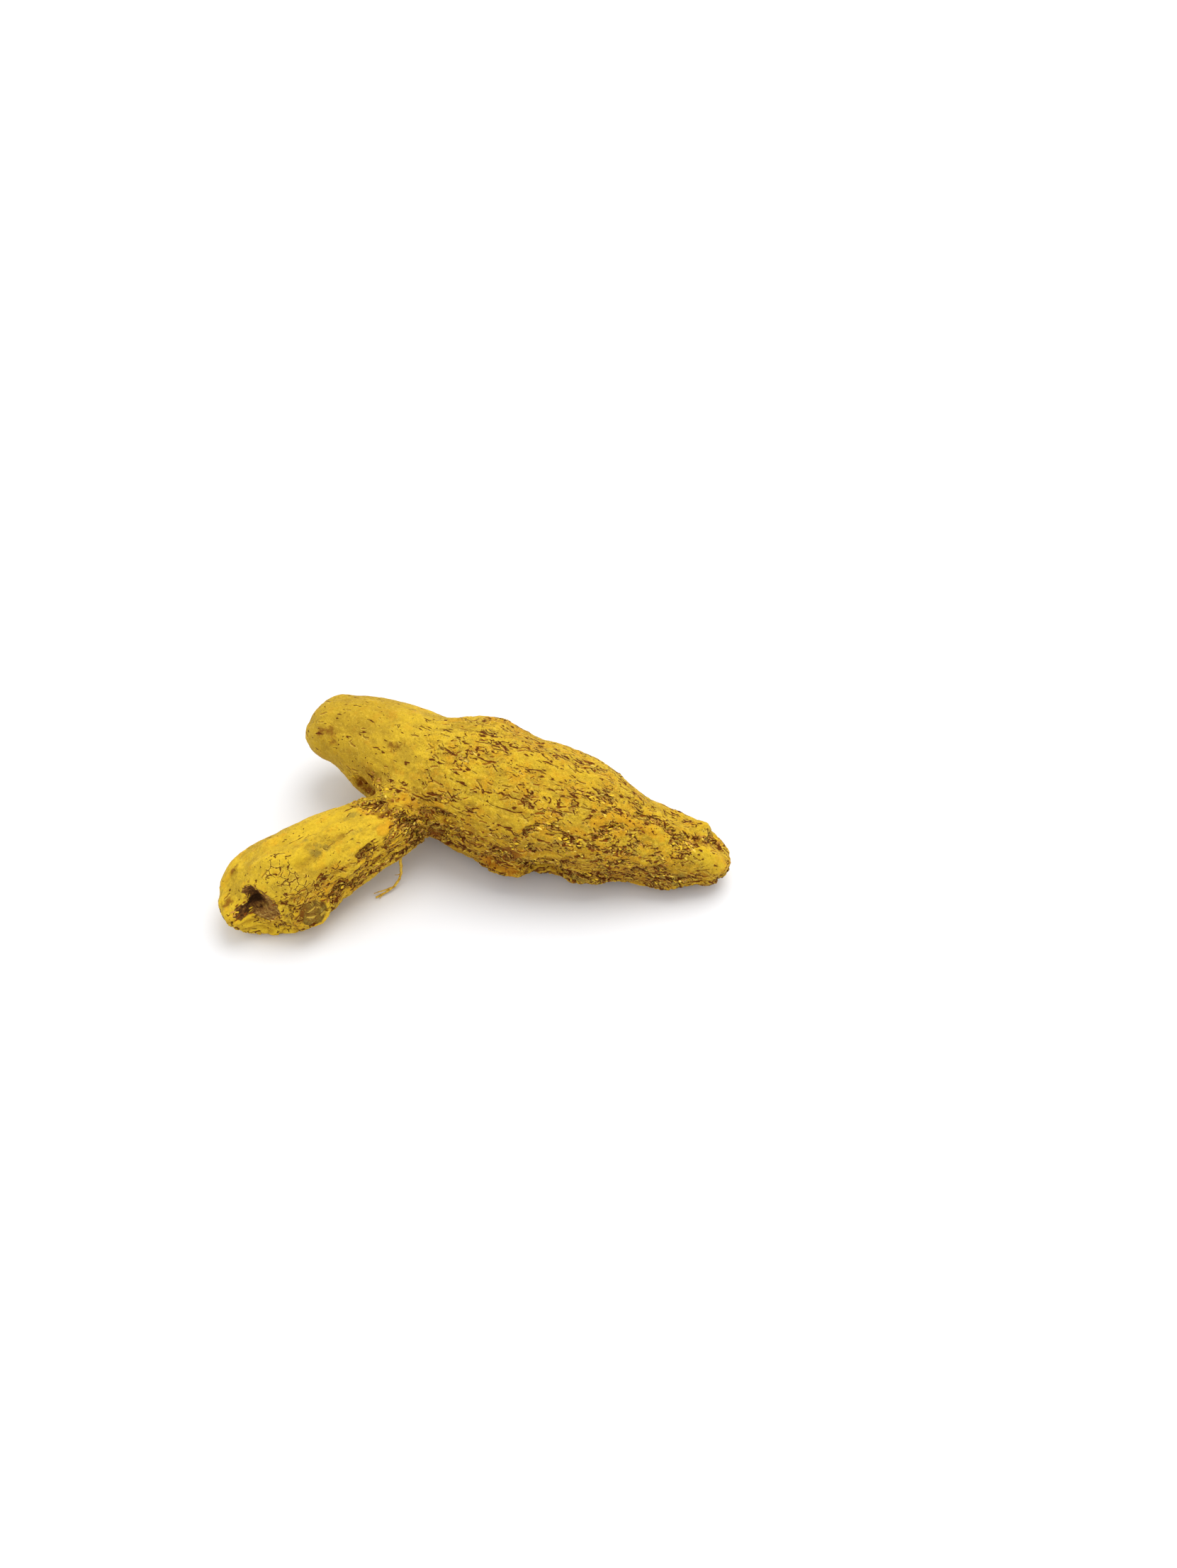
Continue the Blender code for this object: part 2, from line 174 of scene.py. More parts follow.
# where the skin is torn: width in mm, amount 0 to 1
tearMarks = (
    ("crack chain", ((740, 1125), (768, 1126)), 0.5, 0.7),
    ("left patch", ((742, 1137), (760, 1142)), 0.8, 0.7),
    ("diagonal", ((740, 1176), (762, 1162), (777, 1169), (786, 1165)), 0.5, 0.9),
    ("ring crack", ((809, 1114), (810, 1128), (813, 1144)), 0.55, 0.9),
    ("right of the ring", ((822, 1116), (830, 1124), (843, 1122)), 0.7, 0.6),
    ("tan patch", ((858, 1120), (863, 1129)), 0.8, 0.75),
    ("steps", ((822, 1163), (832, 1152), (839, 1140)), 0.4, 0.7),
    ("over the ridge left", ((850, 1147), (862, 1142), (872, 1143), (888, 1149)), 0.5, 0.8),
    ("over the ridge right", ((899, 1150), (912, 1154), (928, 1160), (947, 1171)), 0.65, 0.9),
    ("spur", ((920, 1148), (926, 1158)), 0.4, 0.9),
    ("under the shoulder", ((838, 1180), (850, 1174), (868, 1166), (878, 1164)), 0.6, 0.95),
    ("between the ridges", ((888, 1162), (899, 1168), (922, 1181)), 0.45, 0.85),
    ("below the ridges", ((886, 1180), (901, 1186), (913, 1194), (928, 1198)), 0.55, 0.9),
    ("branching patch", ((799, 1180), (808, 1186), (816, 1193)), 0.7, 0.85),
    ("second patch", ((797, 1197), (812, 1206)), 0.6, 0.85),
    ("short slit", ((832, 1193), (841, 1196)), 0.4, 0.9),
    ("slit above the belly", ((858, 1197), (880, 1198)), 0.4, 0.9),
    ("left belly patch", ((745, 1198), (764, 1197)), 0.6, 0.85),
    ("black spot", ((834, 1214), (846, 1213)), 0.4, 1.0),
    ("dark belly patch", ((844, 1223), (856, 1223)), 0.5, 1.0),
    ("crease", ((732, 1212), (763, 1213), (789, 1217), (822, 1209)), 0.6, 1.0),
    ("long dark crease", ((878, 1228), (901, 1225), (948, 1223)), 0.45, 0.9),
    ("wavy crease", ((854, 1205), (884, 1203), (905, 1210), (925, 1205)), 0.35, 0.8),
    ("belly crease", ((859, 1218), (873, 1213), (903, 1224)), 0.5, 0.85),
    ("tip spot", ((955, 1219), (967, 1219)), 0.5, 0.9),
    ("tip groove", ((950, 1190), (962, 1192), (966, 1200)), 1.2, 0.85),
    ("tip groove edge", ((964, 1178), (975, 1184), (988, 1182), (1008, 1186)), 0.8, 0.95),
    ("leaf scar", ((918, 1240), (940, 1243), (960, 1242)), 0.9, 0.75),
    ("beside the leaf scar", ((973, 1233), (975, 1241)), 0.4, 1.0),
    ("ridge scar edge", ((806, 1232), (830, 1233), (852, 1236)), 0.4, 0.8),
    ("cavity", ((697, 1198), (708, 1201), (720, 1206)), 0.9, 1.0),
    ("crack to the cavity", ((730, 1178), (726, 1188), (724, 1196)), 0.4, 0.9),
    ("tan patch by the cavity", ((744, 1197), (750, 1200)), 0.6, 0.8),
    ("worn neck", ((507, 1136), (533, 1136)), 1.0, 0.85),
    ("collar", ((520, 1134), (540, 1138), (560, 1152), (580, 1165), (590, 1180)), 1.4, 1.1),
    ("slot", ((505, 1208), (513, 1202), (523, 1195)), 0.8, 1.2),
    ("cleft", ((556, 1162), (551, 1176), (544, 1192)), 0.6, 1.0),
    ("main neck fold high", ((596, 1143), (620, 1145), (643, 1151)), 0.55, 1.2),
    ("main neck fold middle", ((599, 1157), (626, 1166), (651, 1171), (668, 1182)), 0.7, 0.85),
    ("main neck fold low", ((607, 1168), (639, 1178), (655, 1185)), 0.6, 0.9),
    ("crackled patch", ((614, 1128), (626, 1126), (639, 1128)), 0.7, 0.75),
    ("neck crack", ((570, 1103), (568, 1118)), 0.4, 0.9),
    ("rays over the fork", ((520, 1090), (530, 1106), (542, 1124)), 0.8, 0.9),
    ("rays beside them", ((544, 1086), (552, 1104), (558, 1122)), 0.7, 0.8),
    ("over the neck", ((575, 1128), (600, 1126), (630, 1122)), 1.0, 0.45),
    ("side crease", ((583, 1190), (558, 1207), (531, 1224), (500, 1241)), 0.5, 0.9),
    ("side crease low", ((566, 1203), (544, 1218), (510, 1240), (492, 1249)), 0.5, 0.8),
    ("side dark streak", ((505, 1226), (496, 1233), (486, 1240)), 0.5, 0.85),
    ("side flakes", ((473, 1219), (462, 1228), (451, 1238)), 0.6, 0.8),
    ("dark hollow", ((469, 1264), (475, 1254), (481, 1247)), 0.9, 0.9),
    ("hatch", ((390, 1308), (402, 1305)), 0.35, 0.9),
    ("oval", ((416, 1302), (417, 1306)), 0.35, 1.0),
    ("corner cracks", ((320, 1302), (333, 1304)), 0.4, 0.8),
    ("head patch", ((553, 1056), (566, 1050)), 0.8, 0.65),
    ("hump top", ((690, 1032), (700, 1036), (712, 1030)), 0.6, 0.45),
    ("hump edge", ((738, 1036), (752, 1043), (764, 1048)), 0.6, 0.6),
    ("fine crackle", ((655, 1060), (690, 1050), (715, 1058)), 2.2, 0.25),
    ("nub", ((985, 1208), (1010, 1215)), 1.8, -0.3),
    ("shoulder", ((838, 1160), (862, 1152), (884, 1158), (908, 1170), (935, 1184)), 0.5, -0.6),
    ("below the wound", ((335, 1306), (372, 1308), (405, 1312)), 1.5, -0.5),
    ("bud stub", ((684, 1216), (706, 1224), (736, 1232)), 0.9, -1.0),
)

# patches of another colour: width in mm, amount 0 to 1
tintMarks = {
    "olive": (
        ("side mottle", ((446, 1201),), 0.9, 0.8),
        ("small side mottle", ((430, 1187),), 0.5, 0.7),
        ("side streak", ((460, 1198), (468, 1190)), 0.6, 0.7),
        ("mottle near the neck", ((489, 1152), (500, 1148)), 0.7, 0.7),
        ("flank mottle", ((496, 1178), (505, 1172)), 0.8, 0.5),
        ("ridge scar", ((806, 1238), (830, 1240), (850, 1239)), 0.9, 1.0),
        ("leaf scar", ((918, 1240), (940, 1243), (960, 1242)), 1.0, 1.0),
        ("dull back", ((752, 1100), (770, 1106)), 1.4, 0.3),
        ("dull shoulder", ((848, 1112), (852, 1122)), 1.0, 0.4),
        ("dull belly", ((755, 1185), (790, 1190)), 1.8, 0.35),
    ),
    "brown": (
        ("head scar", ((452, 1034), (468, 1030), (470, 1044)), 0.9, 0.62),
        ("head patch", ((556, 1053), (563, 1051)), 0.9, 0.6),
        ("cavity", ((700, 1197), (711, 1201), (723, 1203)), 1.2, 1.3),
        ("hole", ((736, 1212), (748, 1217)), 1.0, 1.1),
        ("fork hollow", ((508, 1105), (516, 1112), (525, 1121)), 0.75, 0.8),
        ("slot", ((505, 1208), (513, 1202), (521, 1196)), 0.5, 1.2),
        ("neck fold high", ((602, 1144), (620, 1145), (640, 1150)), 0.35, 0.8),
        ("neck fold middle", ((610, 1160), (632, 1167), (656, 1174)), 0.35, 0.8),
        ("dark hollow", ((469, 1264), (475, 1254), (481, 1247)), 0.9, 1.4),
        ("end spot", ((326, 1232), (333, 1225)), 0.6, 0.6),
        ("end dent", ((317, 1278), (322, 1272)), 0.6, 0.8),
        ("end speck", ((400, 1221),), 0.4, 0.6),
        ("worn neck", ((507, 1136), (533, 1136)), 0.8, 0.6),
        ("collar", ((530, 1140), (555, 1152), (575, 1162), (600, 1176)), 1.1, 0.8),
        ("below the neck", ((606, 1168), (626, 1186), (642, 1192)), 1.1, 0.85),
        ("scar crescent", ((426, 1300), (427, 1286), (434, 1276)), 0.3, 0.7),
        ("ridge scar line", ((800, 1230), (816, 1231), (836, 1234), (852, 1236)), 0.35, 1.0),
    ),
    "bud": (
        ("bud stub", ((684, 1212), (702, 1222), (722, 1230)), 1.0, 1.1),
    ),
    "orange": (
        ("orange bump", ((541, 1172), (548, 1162)), 0.9, 1.1),
        ("neck dot", ((563, 1128), (571, 1123)), 0.4, 0.9),
        ("neck streak", ((603, 1136), (622, 1138)), 0.5, 0.8),
        ("lip of the cavity", ((724, 1208), (735, 1203)), 0.7, 0.8),
        ("shoulder ridge", ((838, 1160), (862, 1152), (884, 1156), (908, 1168), (935, 1182)), 0.8, 0.9),
        ("second ridge", ((872, 1175), (884, 1172)), 0.7, 0.7),
        ("belly", ((812, 1172), (825, 1178)), 0.8, 0.7),
        ("hump", ((690, 1013), (720, 1018), (735, 1028)), 1.0, 0.7),
        ("nose", ((1010, 1205), (1022, 1222)), 1.2, 0.6),
        ("above the round scar", ((460, 1250),), 0.8, 0.9),
        ("lower belly", ((850, 1200), (868, 1208)), 1.0, 0.5),
    ),
    "bright": (
        ("mid spot", ((660, 1088), (672, 1086)), 1.0, 0.9),
        ("right of the hump", ((760, 1075), (800, 1092), (836, 1112)), 2.0, 0.7),
        ("before the hump", ((690, 1046), (730, 1060)), 1.8, 0.5),
        ("over the tip", ((905, 1135), (955, 1160)), 1.2, 0.6),
        ("top of the side finger", ((400, 1190), (440, 1165), (480, 1150)), 2.0, 0.8),
        ("side above the cracks", ((380, 1200), (420, 1215)), 1.8, 0.8),
        ("flank", ((520, 1160), (500, 1185)), 1.5, 0.25),
        ("below the wound", ((345, 1304), (372, 1308), (400, 1310)), 1.5, 0.9),
        ("nub", ((985, 1205), (1000, 1206)), 1.6, 0.8),
        ("collar dot", ((560, 1180), (570, 1186)), 0.8, 0.5),
    ),
}

# the round scar low on the end of the side finger, and the network of drying cracks above it
roundScar = {"seenAt": (443, 1290), "radius": 1.75, "sink": 0.16, "groove": 0.22, "rim": 0.20}
endNetwork = {"seenAt": ((385, 1228), (412, 1248), (440, 1262)), "width": 3.4}

crackLook = {
    "lineWidth": 0.060,      # in units of the noise that draws the lines
    "stripWidth": 0.12,
    "shadeOffset": 0.15,     # mm of painted shadow under the edge of a tear that faces the light
}

# short dashes, one to a cell: sizes in mm, "few" and "many" their share on whole and on torn skin
dashLayers = (
    dict(cell=1.50, halfLength=0.46, halfWidth=0.120, spread=0.7, few=0.05, many=1.0, seedShift=41.0),
    dict(cell=1.05, halfLength=0.24, halfWidth=0.095, spread=1.1, few=0.02, many=0.75, seedShift=12.0),
)

skinColours = {  # sRGB, 0 to 255
    "gold": (231, 191, 46),
    "oliveGold": (194, 157, 42),
    "bright": (236, 196, 42),
    "orange": (226, 158, 28),
    # painted shade for the flank over the paper, which faces away from the light
    "paintedNearShade": (156, 100, 18),
    "dull": (172, 134, 34),
    "olive": (146, 124, 52),
    "bud": (202, 144, 30),
    "worn": (196, 144, 60),
    "brown": (130, 72, 16),
    "russet": (154, 78, 8),
    "crack": (102, 44, 2),
    # specks, and the painted shade with dust in hollows
    "speck": (170, 128, 34),
    # pale flecks, and the painted highlight on the lips of dashes
    "lip": (246, 206, 74),
    "pale": (242, 214, 116),
    "woundTan": (184, 136, 62),
    "woundBrown": (124, 80, 36),
    # also the painted shade in the deepest part of the wound
    "woundDark": (60, 36, 16),
    "scarOlive": (140, 114, 40),
    "scarDark": (108, 82, 30),
}
patchStrength = {"bright": 0.45, "orange": 0.6, "olive": 0.75, "brown": 0.8, "bud": 0.85}


# node helpers
class Wire:
    # a node's output: a sum, difference or product of wires adds the math node that works it out
    def __init__(self, socket):
        self.socket = socket
        self.tree = socket.id_data

    def out(self, name):
        # another output of the same node
        return Wire(self.socket.node.outputs[name])

    def dot(self, other):
        return worked("DOT_PRODUCT", self, other)

    def __add__(self, other):
        return worked("ADD", self, other)

    def __sub__(self, other):
        return worked("SUBTRACT", self, other)

    def __rsub__(self, other):
        return worked("SUBTRACT", other, self)

    def __mul__(self, other):
        return worked("MULTIPLY", self, other)

    def __truediv__(self, other):
        return worked("DIVIDE", self, other)

    def __rtruediv__(self, other):
        return worked("DIVIDE", other, self)

    def __abs__(self):
        return worked("ABSOLUTE", self)


def plug(socket, value):
    # a socket takes either a wire or a plain value
    if isinstance(value, Wire):
        value.tree.links.new(value.socket, socket)
    else:
        socket.default_value = value


def isVector(value):
    return value.socket.type != "VALUE" if isinstance(value, Wire) else isinstance(value, tuple)


def worked(operation, first, second=None):
    # a math node, or a vector math node where the first side is a vector
    if operation == "MULTIPLY" and isVector(first) and not isVector(second):
        operation = "SCALE"
    tree = first.tree if isinstance(first, Wire) else second.tree
    node = tree.nodes.new("ShaderNodeVectorMath" if isVector(first) else "ShaderNodeMath")
    node.operation = operation
    plug(node.inputs[0], first)
    if second is not None:
        plug(node.inputs["Scale" if operation == "SCALE" else 1], second)
    toVector = isVector(first) and operation not in ("DOT_PRODUCT", "LENGTH")
    return Wire(node.outputs["Vector" if toVector else "Value"])


def addNode(tree, kind, given=(), **settings):
    # a node with its settings and what goes into it, as the wire of its first output
    node = tree.nodes.new(kind)
    for name, value in settings.items():
        setattr(node, name, value)
    for name, value in dict(given).items():
        plug(node.inputs[name], value)
    return Wire(node.outputs[0])


def combine(tree, x, y, z):
    return addNode(tree, "ShaderNodeCombineXYZ", {0: x, 1: y, 2: z})


def noiseNode(vector, scale, detail=2.0, roughness=0.5):
    given = {"Vector": vector, "Scale": scale, "Detail": detail, "Roughness": roughness}
    return addNode(vector.tree, "ShaderNodeTexNoise", given)


def wobble(vector, scale, amount):
    # the vector, pushed about by noise
    return vector + (noiseNode(vector, scale).out("Color") - (0.5, 0.5, 0.5)) * amount


def smoothStep(value, low, high, fromZero=0.0, toOne=1.0, kind="SMOOTHSTEP"):
    given = {"Value": value, "From Min": low, "From Max": high, "To Min": fromZero, "To Max": toOne}
    return addNode(value.tree, "ShaderNodeMapRange", given, interpolation_type=kind)


def mixColour(share, first, second):
    return addNode(share.tree, "ShaderNodeMix", {0: share, 6: first, 7: second}, data_type="RGBA").out(2)


def linear(rgb):
    # sRGB 0 to 255 into the linear colour that the nodes take
    parts = [value / 255 for value in rgb]
    return tuple(p / 12.92 if p <= 0.04045 else ((p + 0.055) / 1.055) ** 2.4 for p in parts) + (1.0,)


def newMaterial(name, specular, roughness):
    material = bpy.data.materials.new(name)
    material.use_nodes = True
    sockets = material.node_tree.nodes["Principled BSDF"].inputs
    sockets["Specular IOR Level"].default_value = specular
    sockets["Roughness"].default_value = roughness
    return material, material.node_tree, sockets


def newTree(name, sizes):
    # a Geometry Nodes tree with one geometry in and out, named sizes and a material
    tree = bpy.data.node_groups.new(name, "GeometryNodeTree")
    tree.interface.new_socket("Geometry", in_out="INPUT", socket_type="NodeSocketGeometry")
    for size in sizes:
        tree.interface.new_socket(size, in_out="INPUT", socket_type="NodeSocketFloat")
    tree.interface.new_socket("material", in_out="INPUT", socket_type="NodeSocketMaterial")
    tree.interface.new_socket("Geometry", in_out="OUTPUT", socket_type="NodeSocketGeometry")
    return tree, {socket.name: Wire(socket) for socket in tree.nodes.new("NodeGroupInput").outputs}


def finishTree(tree, geometry, material):
    # instances become mesh, nothing goes below the paper, and the mesh takes its material
    realized = addNode(tree, "GeometryNodeRealizeInstances", {0: geometry})
    floor = worked("MAXIMUM", addNode(tree, "GeometryNodeInputPosition"), (-1.0, -1.0, 0.0))
    floored = addNode(tree, "GeometryNodeSetPosition", {"Geometry": realized, "Position": floor})
    finished = addNode(tree, "GeometryNodeSetMaterial", {"Geometry": floored, "Material": material})
    plug(tree.nodes.new("NodeGroupOutput").inputs[0], finished)
    return tree


def namedAttribute(tree, name, kind="FLOAT"):
    return addNode(tree, "GeometryNodeInputNamedAttribute", {"Name": name}, data_type=kind).out("Attribute")


def randomValue(tree, low, high, seed):
    return addNode(tree, "FunctionNodeRandomValue", {2: low, 3: high, "Seed": seed}).out(1)


# patterns that the relief and the colour of the skin share
def tearField(flow, amount, size, stretch, seedShift):
    # how far inside a tear of the skin a place is: above 0 the yellow skin is gone
    drawnOut = flow / combine(flow.tree, stretch, 1.0, 1.0) + (seedShift, 0.7 * seedShift, 0.3 * seedShift)
    value = noiseNode(wobble(drawnOut, 0.45, 1.2), 0.9 / size, 5.0, 0.66)
    return value - smoothStep(amount, 0.0, 1.3, 0.78, 0.485, "LINEAR")


def foldValleys(flow, spacing):
    # bottoms of the long folds: 0 on the crests, 1 in the valleys
    bent = wobble(wobble(flow / (6.0, 1.0, 1.0), 0.35, 1.6), 1.6, 0.3)
    fold = noiseNode(bent, 0.8 / spacing, 3, 0.55)
    return smoothStep(abs(fold - 0.5), 0.11, 0.0)


def crackLines(flow, amount, scale, stretch, seedShift):
    # thin wandering cracks, which taper off where the skin is whole: 1 in a crack, and the strip beside it
    drawnOut = flow / (stretch, 1.0, 1.0) + (seedShift, 0.4 * seedShift, 0.9 * seedShift)
    bent = wobble(drawnOut, 1.2 * scale, 0.38 / scale)
    offLine = abs(noiseNode(bent, scale, 1.5) - 0.5)
    broken = noiseNode(drawnOut + (7.0, 2.0, 5.0), 1.1 * scale, 1)
    gaping = smoothStep(broken - smoothStep(amount, 0.0, 1.3, 0.68, 0.38, "LINEAR"), 0.0, 0.06)
    width = gaping * crackLook["lineWidth"] + 0.0001
    line = smoothStep(offLine, width, width * 0.35)
    strip = smoothStep(offLine, crackLook["stripWidth"], 0.02) * gaping
    return line, strip


def dashes(flow, outward, light, amount, layer):
    # short crooked cracks lying in the skin: the dark of each, the painted highlight on its lip away from the
    # light, and how red it is
    shift = layer["seedShift"]
    bent = wobble(flow + (shift, 0.6 * shift, 0.2 * shift), 1.3, 0.45)
    cells = addNode(flow.tree, "ShaderNodeTexVoronoi", {"Scale": 1 / layer["cell"], "Vector": bent})
    chance = addNode(flow.tree, "ShaderNodeSeparateColor", {0: cells.out("Color")})
    toCentre = bent - cells.out("Position")
    depth = toCentre.dot(outward)
    flat = toCentre - outward * depth
    lean = combine(flow.tree, 1.0, *[(chance.out(k) - 0.5) * (2 * layer["spread"]) for k in (1, 2)])
    run = worked("NORMALIZE", lean - outward * lean.dot(outward))
    along = worked("MINIMUM", flat.dot(run), layer["halfLength"])
    offset = flat - run * worked("MAXIMUM", along, -layer["halfLength"])
    apart = worked("LENGTH", offset)
    share = smoothStep(amount, 0.0, 1.0, layer["few"], layer["many"], "LINEAR")
    there = worked("LESS_THAN", chance, share) * worked("LESS_THAN", abs(depth), 0.42 * layer["cell"])
    width = there * layer["halfWidth"] + 0.0001
    dark = smoothStep(apart, width, width * 0.45)
    # painted highlight: a pale band beside the dash, on its side away from the light
    lip = smoothStep(apart, width * 2.6, width * 1.3) * smoothStep(offset.dot(light), 0.0, -0.03)
    return dark, lip, chance.out(1)


# mesh helpers
def vertexValues(mesh, name):
    values = np.empty(len(mesh.vertices) * 3)
    mesh.vertices.foreach_get(name, values)
    return values.reshape(-1, 3)


def pointsOf(mesh):
    return vertexValues(mesh, "co") / metresPerMm


def setPoints(mesh, points):
    mesh.vertices.foreach_set("co", (points * metresPerMm).ravel())
    mesh.update()


def setAttribute(mesh, name, values):
    kind = "FLOAT_VECTOR" if values.ndim == 2 else "FLOAT"
    layer = mesh.attributes.new(name, kind, "POINT")
    layer.data.foreach_set("vector" if values.ndim == 2 else "value", values.astype(np.float32).ravel())


def wander(points, scale, amount):
    # a repeatable wobble of every point, so that no mark has a drawn outline
    return amount * np.array([noise.noise_vector(Vector(p * scale)) for p in points])


def smooth(values, low, high):
    share = np.clip((values - low) / (high - low), 0.0, 1.0)
    return share * share * (3.0 - 2.0 * share)


def falloff(distance, width, edge="soft"):
    if edge == "sharp":
        return np.clip(1.0 - distance / width, 0.0, 1.0) ** 1.4
    if edge == "round":
        return np.sqrt(np.clip(1.0 - (distance / width) ** 2, 0.0, 1.0))
    return smooth(distance, width, 0.0)


def toSegment(points, start, end):
    run = end - start
    share = np.clip((points - start) @ run / max(run @ run, 1e-9), 0.0, 1.0)
    return np.linalg.norm(points - start - share[:, None] * run, axis=1)


def seenFrom(pixel):
    # the photo camera's line of sight through a pixel
    turn = Euler((math.radians(camera["tilt"]), 0.0, math.radians(camera["turn"]))).to_matrix()
    focal = camera["lens"] / camera["sensor"] * photo["height"]
    x = (pixel[0] - photo["width"] / 2) / focal
    y = (photo["height"] / 2 - pixel[1]) / focal
    return Vector(camera["place"]) / metresPerMm, (turn @ Vector((x, y, -1.0))).normalized()


class Marks:
    # how near the points of one mesh are to the marks laid on it
    pixelStep = 6  # a mark's pixels are laid on the skin at least this close together

    def __init__(self, mesh, wobbleSize):
        self.points = pointsOf(mesh)
        self.bent = self.points + wander(self.points, 0.8, wobbleSize)
        self.bent += wander(self.points, 2.2, 0.5 * wobbleSize)
        tree = bmesh.new()
        tree.from_mesh(mesh)
        bmesh.ops.scale(tree, vec=(1 / metresPerMm,) * 3, verts=tree.verts)
        self.skin = BVHTree.FromBMesh(tree)
        tree.free()

    def onSkin(self, pixel):
        # where the pixel's line of sight meets the skin, or the skin nearest to a line that just misses it
        eye, ahead = seenFrom(pixel)
        hit = self.skin.ray_cast(eye, ahead)[0]
        if hit is None:
            middle = Vector(self.points.mean(axis=0))
            hit = self.skin.find_nearest(eye + ahead * (middle - eye).dot(ahead))[0]
        return hit

    def path(self, pixels):
        close = [np.array(pixels[0], float)]
        for start, end in zip(pixels[:-1], pixels[1:]):
            steps = max(1, round(math.dist(start, end) / self.pixelStep))
            run = np.array(end, float) - start
            close += [np.array(start) + run * i / steps for i in range(1, steps + 1)]
        return np.array([self.onSkin(pixel) for pixel in close], float)

    def share(self, pixels, width, edge="soft"):
        # 1 on the mark, 0 beyond its width
        path = self.path(pixels)
        apart = np.full(len(self.points), 1e3)
        lowest, highest = path.min(axis=0) - width, path.max(axis=0) + width
        near = np.all((self.bent > lowest) & (self.bent < highest), axis=1)
        points = self.bent[near]
        nearest = np.linalg.norm(points - path[0], axis=1)
        for start, end in zip(path[:-1], path[1:]):
            nearest = np.minimum(nearest, toSegment(points, start, end))
        apart[near] = nearest
        return falloff(apart, width, edge)


def middleCurve(line):
    # a smooth curve through a finger's middle line, the run along it, and the ways along, across and up
    knots = np.array(line, float)
    knots = np.vstack([2 * knots[0] - knots[1], knots, 2 * knots[-1] - knots[-2]])
    spline = []
    for a, b, c, d in zip(knots[:-3], knots[1:-2], knots[2:-1], knots[3:]):
        square, cube = 2 * a - 5 * b + 4 * c - d, 3 * b - a - 3 * c + d
        for t in np.linspace(0.0, 1.0, 24, endpoint=False):
            spline.append(b + 0.5 * ((c - a) * t + square * t ** 2 + cube * t ** 3))
    spline = np.array(spline)
    ahead = np.gradient(spline, axis=0)
    ahead /= np.linalg.norm(ahead, axis=1)[:, None]
    run = np.concatenate([[0.0], np.cumsum(np.linalg.norm(np.diff(spline, axis=0), axis=1))])
    across = np.cross((0.0, 0.0, 1.0), ahead)
    across /= np.linalg.norm(across, axis=1)[:, None]
    return spline, run, (ahead, across, np.cross(ahead, across))


def flowAlong(points, line, *directions):
    # places along, across and up from a finger's middle line, the given directions seen so, and the way ahead
    spline, run, axes = middleCurve(line)
    atOnce = 20000  # points, to spare memory
    nearest = []
    for start in range(0, len(points), atOnce):
        apart = points[start:start + atOnce, None, :] - spline
        nearest.append((apart ** 2).sum(axis=2).argmin(axis=1))
    nearest = np.concatenate(nearest)
    offsets = [points - spline[nearest]] + [np.broadcast_to(way, points.shape) for way in directions]
    turned = [np.stack([(offset * axis[nearest]).sum(axis=1) for axis in axes], axis=1) for offset in offsets]
    turned[0][:, 0] += run[nearest]
    return turned + [axes[0][nearest]]


def baked(piece):
    # the evaluated mesh becomes the piece's own, and the modifiers go
    result = bpy.data.meshes.new_from_object(piece.evaluated_get(bpy.context.evaluated_depsgraph_get()))
    piece.modifiers.clear()
    old = piece.data
    piece.data = result
    bpy.data.meshes.remove(old)


def evened(piece, voxel, smoothing):
    # an even fine mesh over the piece's shape
    remesh = piece.modifiers.new("evenSkin", "REMESH")
    remesh.mode = "VOXEL"
    remesh.voxel_size = voxel * metresPerMm
    calm = piece.modifiers.new("calm", "SMOOTH")
    calm.iterations = smoothing
    baked(piece)


def grown(piece, tree, sizes, material):
    # the piece's mesh becomes what the Geometry Nodes tree makes of it
    modifier = piece.modifiers.new(tree.name, "NODES")
    modifier.node_group = tree
    given = dict(sizes, material=material)
    for item in tree.interface.items_tree:
        if item.item_type == "SOCKET" and item.in_out == "INPUT" and item.name in given:
            modifier[item.identifier] = given[item.name]
    baked(piece)


def linkedPiece(name, mesh):
    piece = bpy.data.objects.new(name, mesh)
    bpy.context.scene.collection.objects.link(piece)
    return piece


# the rhizome
def copyOfNode(nodeName, pieceName):
    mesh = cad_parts[nodeName].data.copy()
    shape = bmesh.new()
    shape.from_mesh(mesh)
    bmesh.ops.remove_doubles(shape, verts=shape.verts, dist=0.002 * metresPerMm)
    shape.to_mesh(mesh)
    shape.free()
    mesh.materials.clear()
    piece = linkedPiece(pieceName, mesh)
    rounding = piece.modifiers.new("rounding", "SUBSURF")
    rounding.levels = rounding.render_levels = 1
    return piece


def sculptMarks(mesh):
    marks = Marks(mesh, 0.22)
    height = np.zeros(len(marks.points))
    for _, pixels, width, amount, *edge in shapeMarks:
        height += amount * marks.share(pixels, width, *edge)
    # the round scar: a sunken disc in a groove, with a swollen rim
    centre = marks.path((roundScar["seenAt"],))[0]
    bent = marks.points + wander(marks.points, 0.9, 0.12)
    fromCentre = np.linalg.norm(bent - centre, axis=1) - roundScar["radius"]
    height -= roundScar["sink"] * smooth(fromCentre, 0.0, -0.35)
    height -= roundScar["groove"] * falloff(np.abs(fromCentre), 0.35)
    height += roundScar["rim"] * falloff(np.abs(fromCentre - 0.5), 0.6)
    points = marks.points + vertexValues(mesh, "normal") * height[:, None]
    points[:, 2] = np.maximum(points[:, 2], 0.0)
    setPoints(mesh, points)


